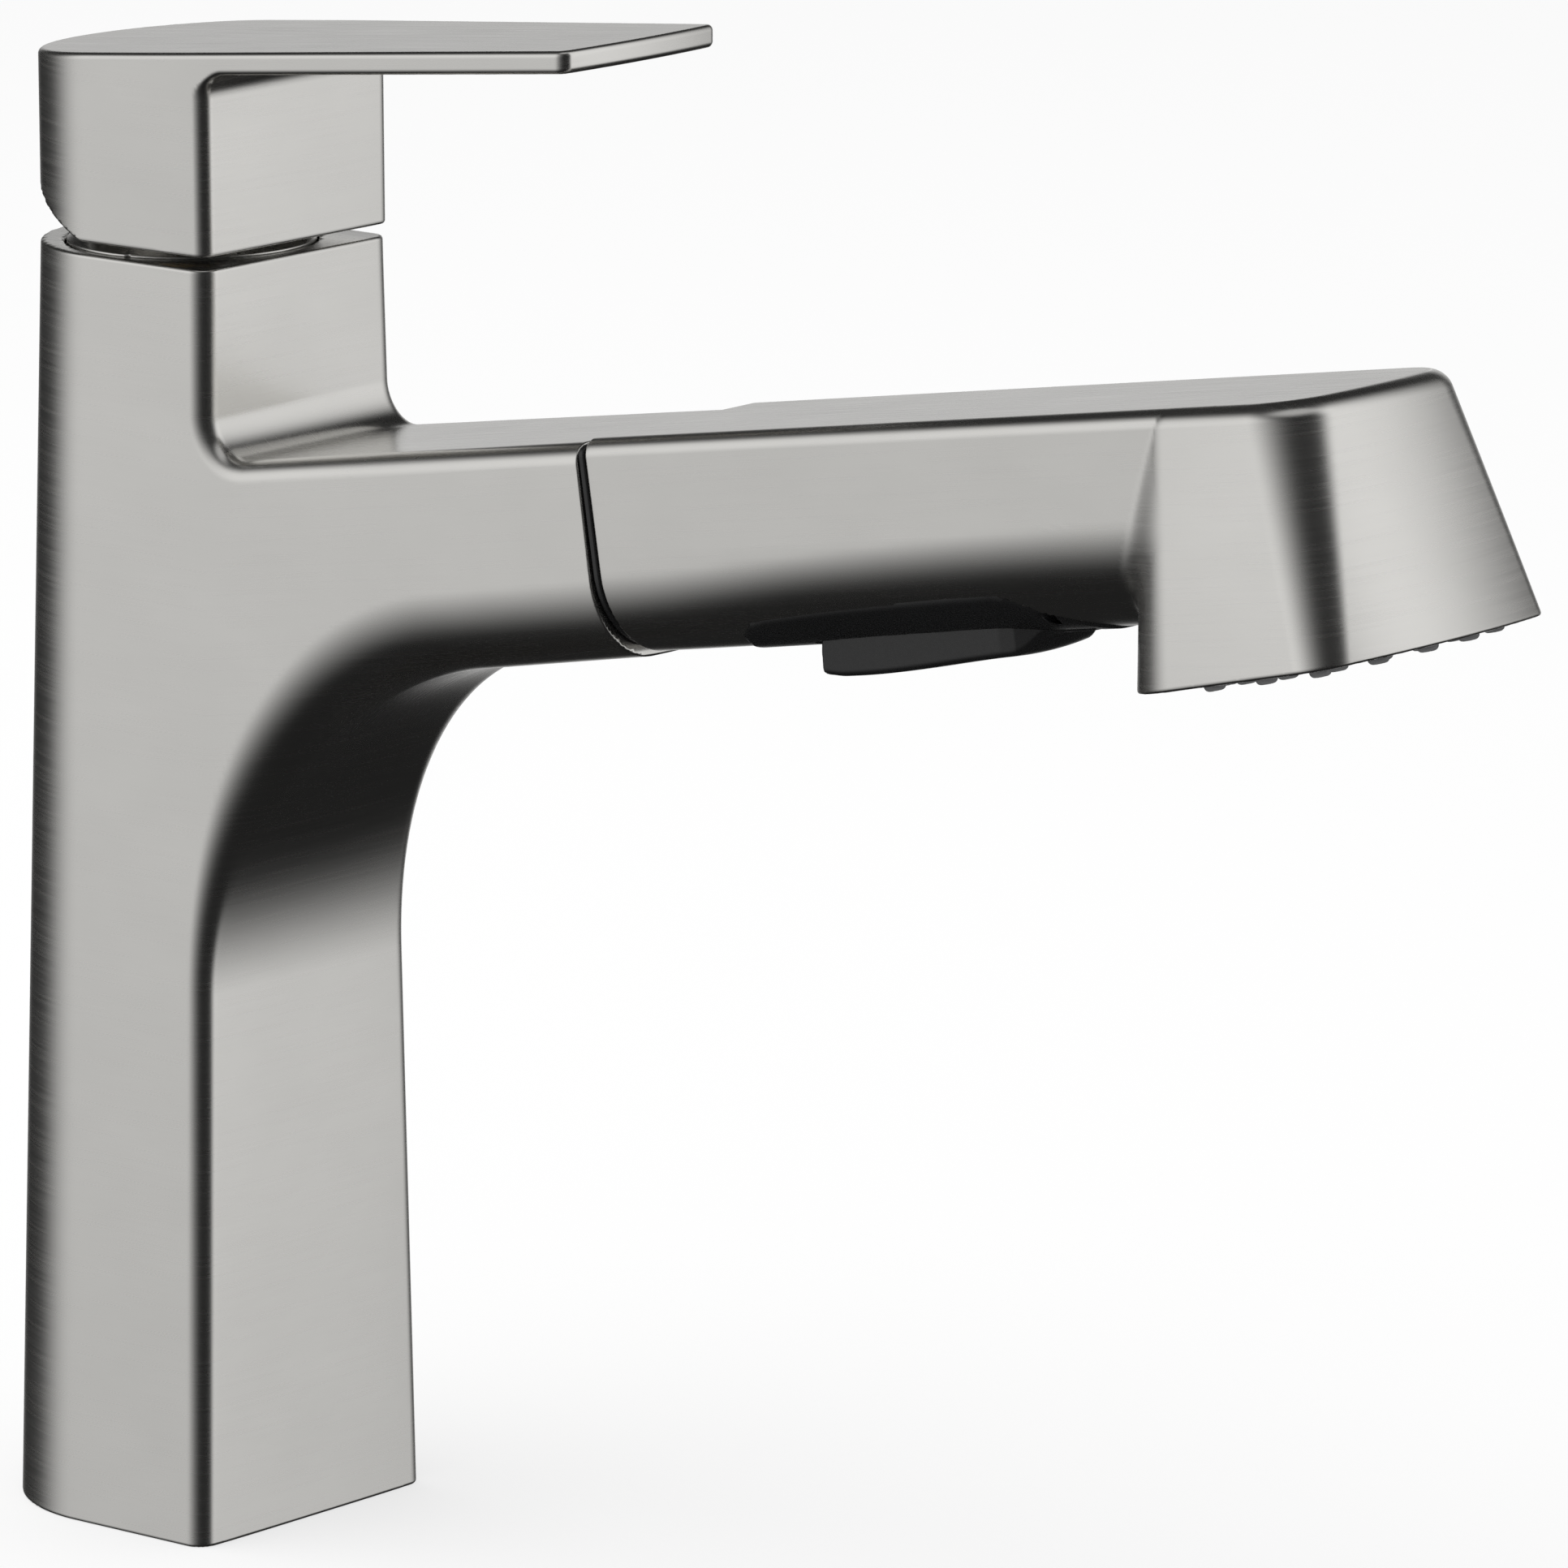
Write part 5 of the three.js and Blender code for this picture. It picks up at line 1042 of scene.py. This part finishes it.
def hose_line():
    """Points down the middle of the hose, as (x, z), and how far it leans from upright at each."""
    turn_end = math.pi / 2 - ARM_ANGLE
    axis_x = HOSE_X + HOSE_BEND * (1 - sin_arm)
    bend_z = DOCK_Z + (axis_x - DOCK_X) * tan_arm - HOSE_BEND * cos_arm
    run = (DOCK_X + HOSE_END * cos_arm - axis_x) / cos_arm
    stretch = [run + place - HOSE_END for place in (STRETCH_START, STRETCH_END)]
    rise = steps(HOSE_BOTTOM, (bend_z, 4))
    turns = np.linspace(0, turn_end, 17)[1:]
    runs = steps(0, (stretch[0], 1.5), (stretch[1], 0.16), (run, 1.5))[1:]
    bend_x = HOSE_X + HOSE_BEND * (1 - np.cos(turns))
    run_z = bend_z + HOSE_BEND * cos_arm + runs * sin_arm
    x = np.concatenate([np.full(len(rise), HOSE_X), bend_x, axis_x + runs * cos_arm])
    z = np.concatenate([rise, bend_z + HOSE_BEND * np.sin(turns), run_z])
    lean = np.concatenate([np.zeros(len(rise)), turns, np.full(len(runs), turn_end)])
    return x, z, lean


def make_hose():
    """The hose, with its rings closer together on a stretch short of the dock."""
    x, z, lean = hose_line()
    angles = np.linspace(0, 2 * math.pi, HOSE_SIDES, endpoint=False)
    across = np.stack([np.cos(lean), np.zeros(len(lean)), -np.sin(lean)], 1)
    outward = across[:, None] * np.cos(angles)[:, None] + np.outer(np.sin(angles), (0, 1, 0))
    middles = np.stack([x, np.zeros(len(x)), z], 1)
    rings = (outward * HOSE_RADIUS + middles[:, None]).reshape(-1, 3)
    quads = wrapped(len(middles), HOSE_SIDES, False)
    caps = [tuple(range(HOSE_SIDES))[::-1], tuple(range(len(rings) - HOSE_SIDES, len(rings)))]
    mesh = bpy.data.meshes.new("braided_hose")
    mesh.from_pydata((rings * MM).tolist(), [], quads.tolist() + caps)
    mesh.shade_smooth()
    mesh.materials.append(MATERIALS["hose"])
    thing = link(bpy.data.objects.new("braided_hose", mesh))
    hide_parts("spray_hose")
    places = np.array([[STRETCH_START, 0, 0], [STRETCH_END, 0, 0]])
    places = along_arm(places) + (DOCK_X, 0, DOCK_Z)
    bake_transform(thing)


# ---------- Studio ----------
# Soft panels of light, seen in reflections alone. They stand still: the angles round the object
# are degrees to the right of the scene's camera, and the heights are degrees over the horizon.
# Between the first two a panel comes up, and between the last two it goes down. The falloff says
# how steeply each side round the object does so.
LIGHT_PANELS = (
    {
        "level": 0.91, "falloff": (1, 1.7),
        "round": ((-126, -88), (-84, 14)), "height": ((-60, 12), (24, 60)),
    },
    {
        "level": 0.96, "falloff": (1, 1),
        "round": ((50, 78), (86, 148)), "height": ((-38, -6), (40, 72)),
    },
    {
        "level": 0.85, "falloff": (1, 1),
        "round": ((146, 172), (184, 202)), "height": ((-32, -16), (3, 24)),
    },
    {
        "level": 0.48, "falloff": (1, 1),
        "round": ((-100, -40), (50, 110)), "height": ((46, 66), (80, 96)),
    },
)
DARK_LEVEL = 0.016  # between the panels
ROOM_LEVEL = 0.72  # of the diffuse light
LAMP_POWER = 26
LAMP_SIZE = 2
LAMP_PLACE = (-0.4, -0.6, 2.4)
FLOOR_REACH = 6
FLOOR_SHADE = 0.35  # how much of the floor's own light and shadow the camera sees


def panel_light(world):
    """Level of the panels in the direction of a ray."""
    place = world.node("ShaderNodeTexCoord").outputs["Generated"]
    turn = {"Vector": place, "Angle": -CAMERA_AZIMUTH}
    turned = world.node("ShaderNodeVectorRotate", turn, rotation_type="Z_AXIS").outputs[0]
    right, away, up = world.node("ShaderNodeSeparateXYZ", {0: turned}).outputs
    towards = world.number("MULTIPLY", away, -1.0)
    round_object = world.number("DEGREES", world.number("ARCTAN2", right, towards))
    on_left = world.number("LESS_THAN", round_object, 0.0)
    full_turn = world.mixed(on_left, round_object, world.number("ADD", round_object, 360.0))
    height = world.number("DEGREES", world.number("ARCSINE", up))
    light = DARK_LEVEL
    for panel in LIGHT_PANELS:
        rise_round, (fall_start, fall_end) = panel["round"]
        rise_up, (top_start, top_end) = panel["height"]
        angle = full_turn if fall_end > 180 else round_object
        edges = (
            world.number("POWER", world.smooth(angle, *rise_round), panel["falloff"][0]),
            world.number("POWER", world.smooth(angle, fall_end, fall_start), panel["falloff"][1]),
            world.smooth(height, *rise_up),
            world.smooth(height, top_end, top_start),
        )
        share = edges[0]
        for edge in edges[1:]:
            share = world.number("MULTIPLY", share, edge)
        light = world.number("MULTIPLY_ADD", share, panel["level"], light)
    return light


def make_world():
    """White for the camera, a plain level for diffuse light, and the panels for reflections."""
    made = bpy.data.worlds.new("studio")
    bpy.context.scene.world = made
    made.use_nodes = True
    made.node_tree.nodes.clear()
    world = Nodes(made.node_tree)
    path = world.node("ShaderNodeLightPath").outputs
    seen = world.number("MAXIMUM", path["Is Camera Ray"], path["Is Transmission Ray"])
    plain_level = world.mixed(seen, ROOM_LEVEL, 1.0)
    level = world.mixed(path["Is Glossy Ray"], plain_level, panel_light(world))
    background = world.node("ShaderNodeBackground", {"Color": (1, 1, 1, 1), "Strength": level})
    world.node("ShaderNodeOutputWorld", {0: background.outputs[0]})


def make_floor():
    corners = [(x * FLOOR_REACH, y * FLOOR_REACH, 0) for x, y in ((-1, -1), (1, -1), (1, 1), (-1, 1))]
    mesh = bpy.data.meshes.new("floor")
    mesh.from_pydata(corners, [], [(0, 1, 2, 3)])
    floor = link(bpy.data.objects.new("floor", mesh))
    floor.visible_glossy = False
    shader = Shader("floor", (0.97, 0.97, 0.97), 1.0)
    shader.set(**{"Specular IOR Level": 0.0})
    white = shader.node("ShaderNodeEmission").outputs[0]
    seen = shader.node("ShaderNodeLightPath").outputs["Is Camera Ray"]
    share = shader.number("MULTIPLY", seen, 1 - FLOOR_SHADE)
    inputs = {0: share, 1: shader.surface.outputs[0], 2: white}
    mixed = shader.node("ShaderNodeMixShader", inputs).outputs[0]
    shader.feed(shader.nodes["Material Output"], "Surface", mixed)
    mesh.materials.append(shader.material)


def make_lamp():
    data = bpy.data.lights.new("overhead", "AREA")
    data.energy = LAMP_POWER
    data.size = LAMP_SIZE
    lamp = link(bpy.data.objects.new("overhead", data))
    lamp.location = LAMP_PLACE
    lamp.rotation_mode = "QUATERNION"
    lamp.rotation_quaternion = (lamp.location - CAMERA_TARGET).to_track_quat("Z", "Y")
    lamp.visible_glossy = False


make_spout()
make_handle()
make_wand()
make_switch()
make_spray_face()
make_dock_collar()
make_bonnet_ring()
make_hose()
make_world()
make_floor()
make_lamp()
bpy.context.scene.view_settings.view_transform = "Standard"
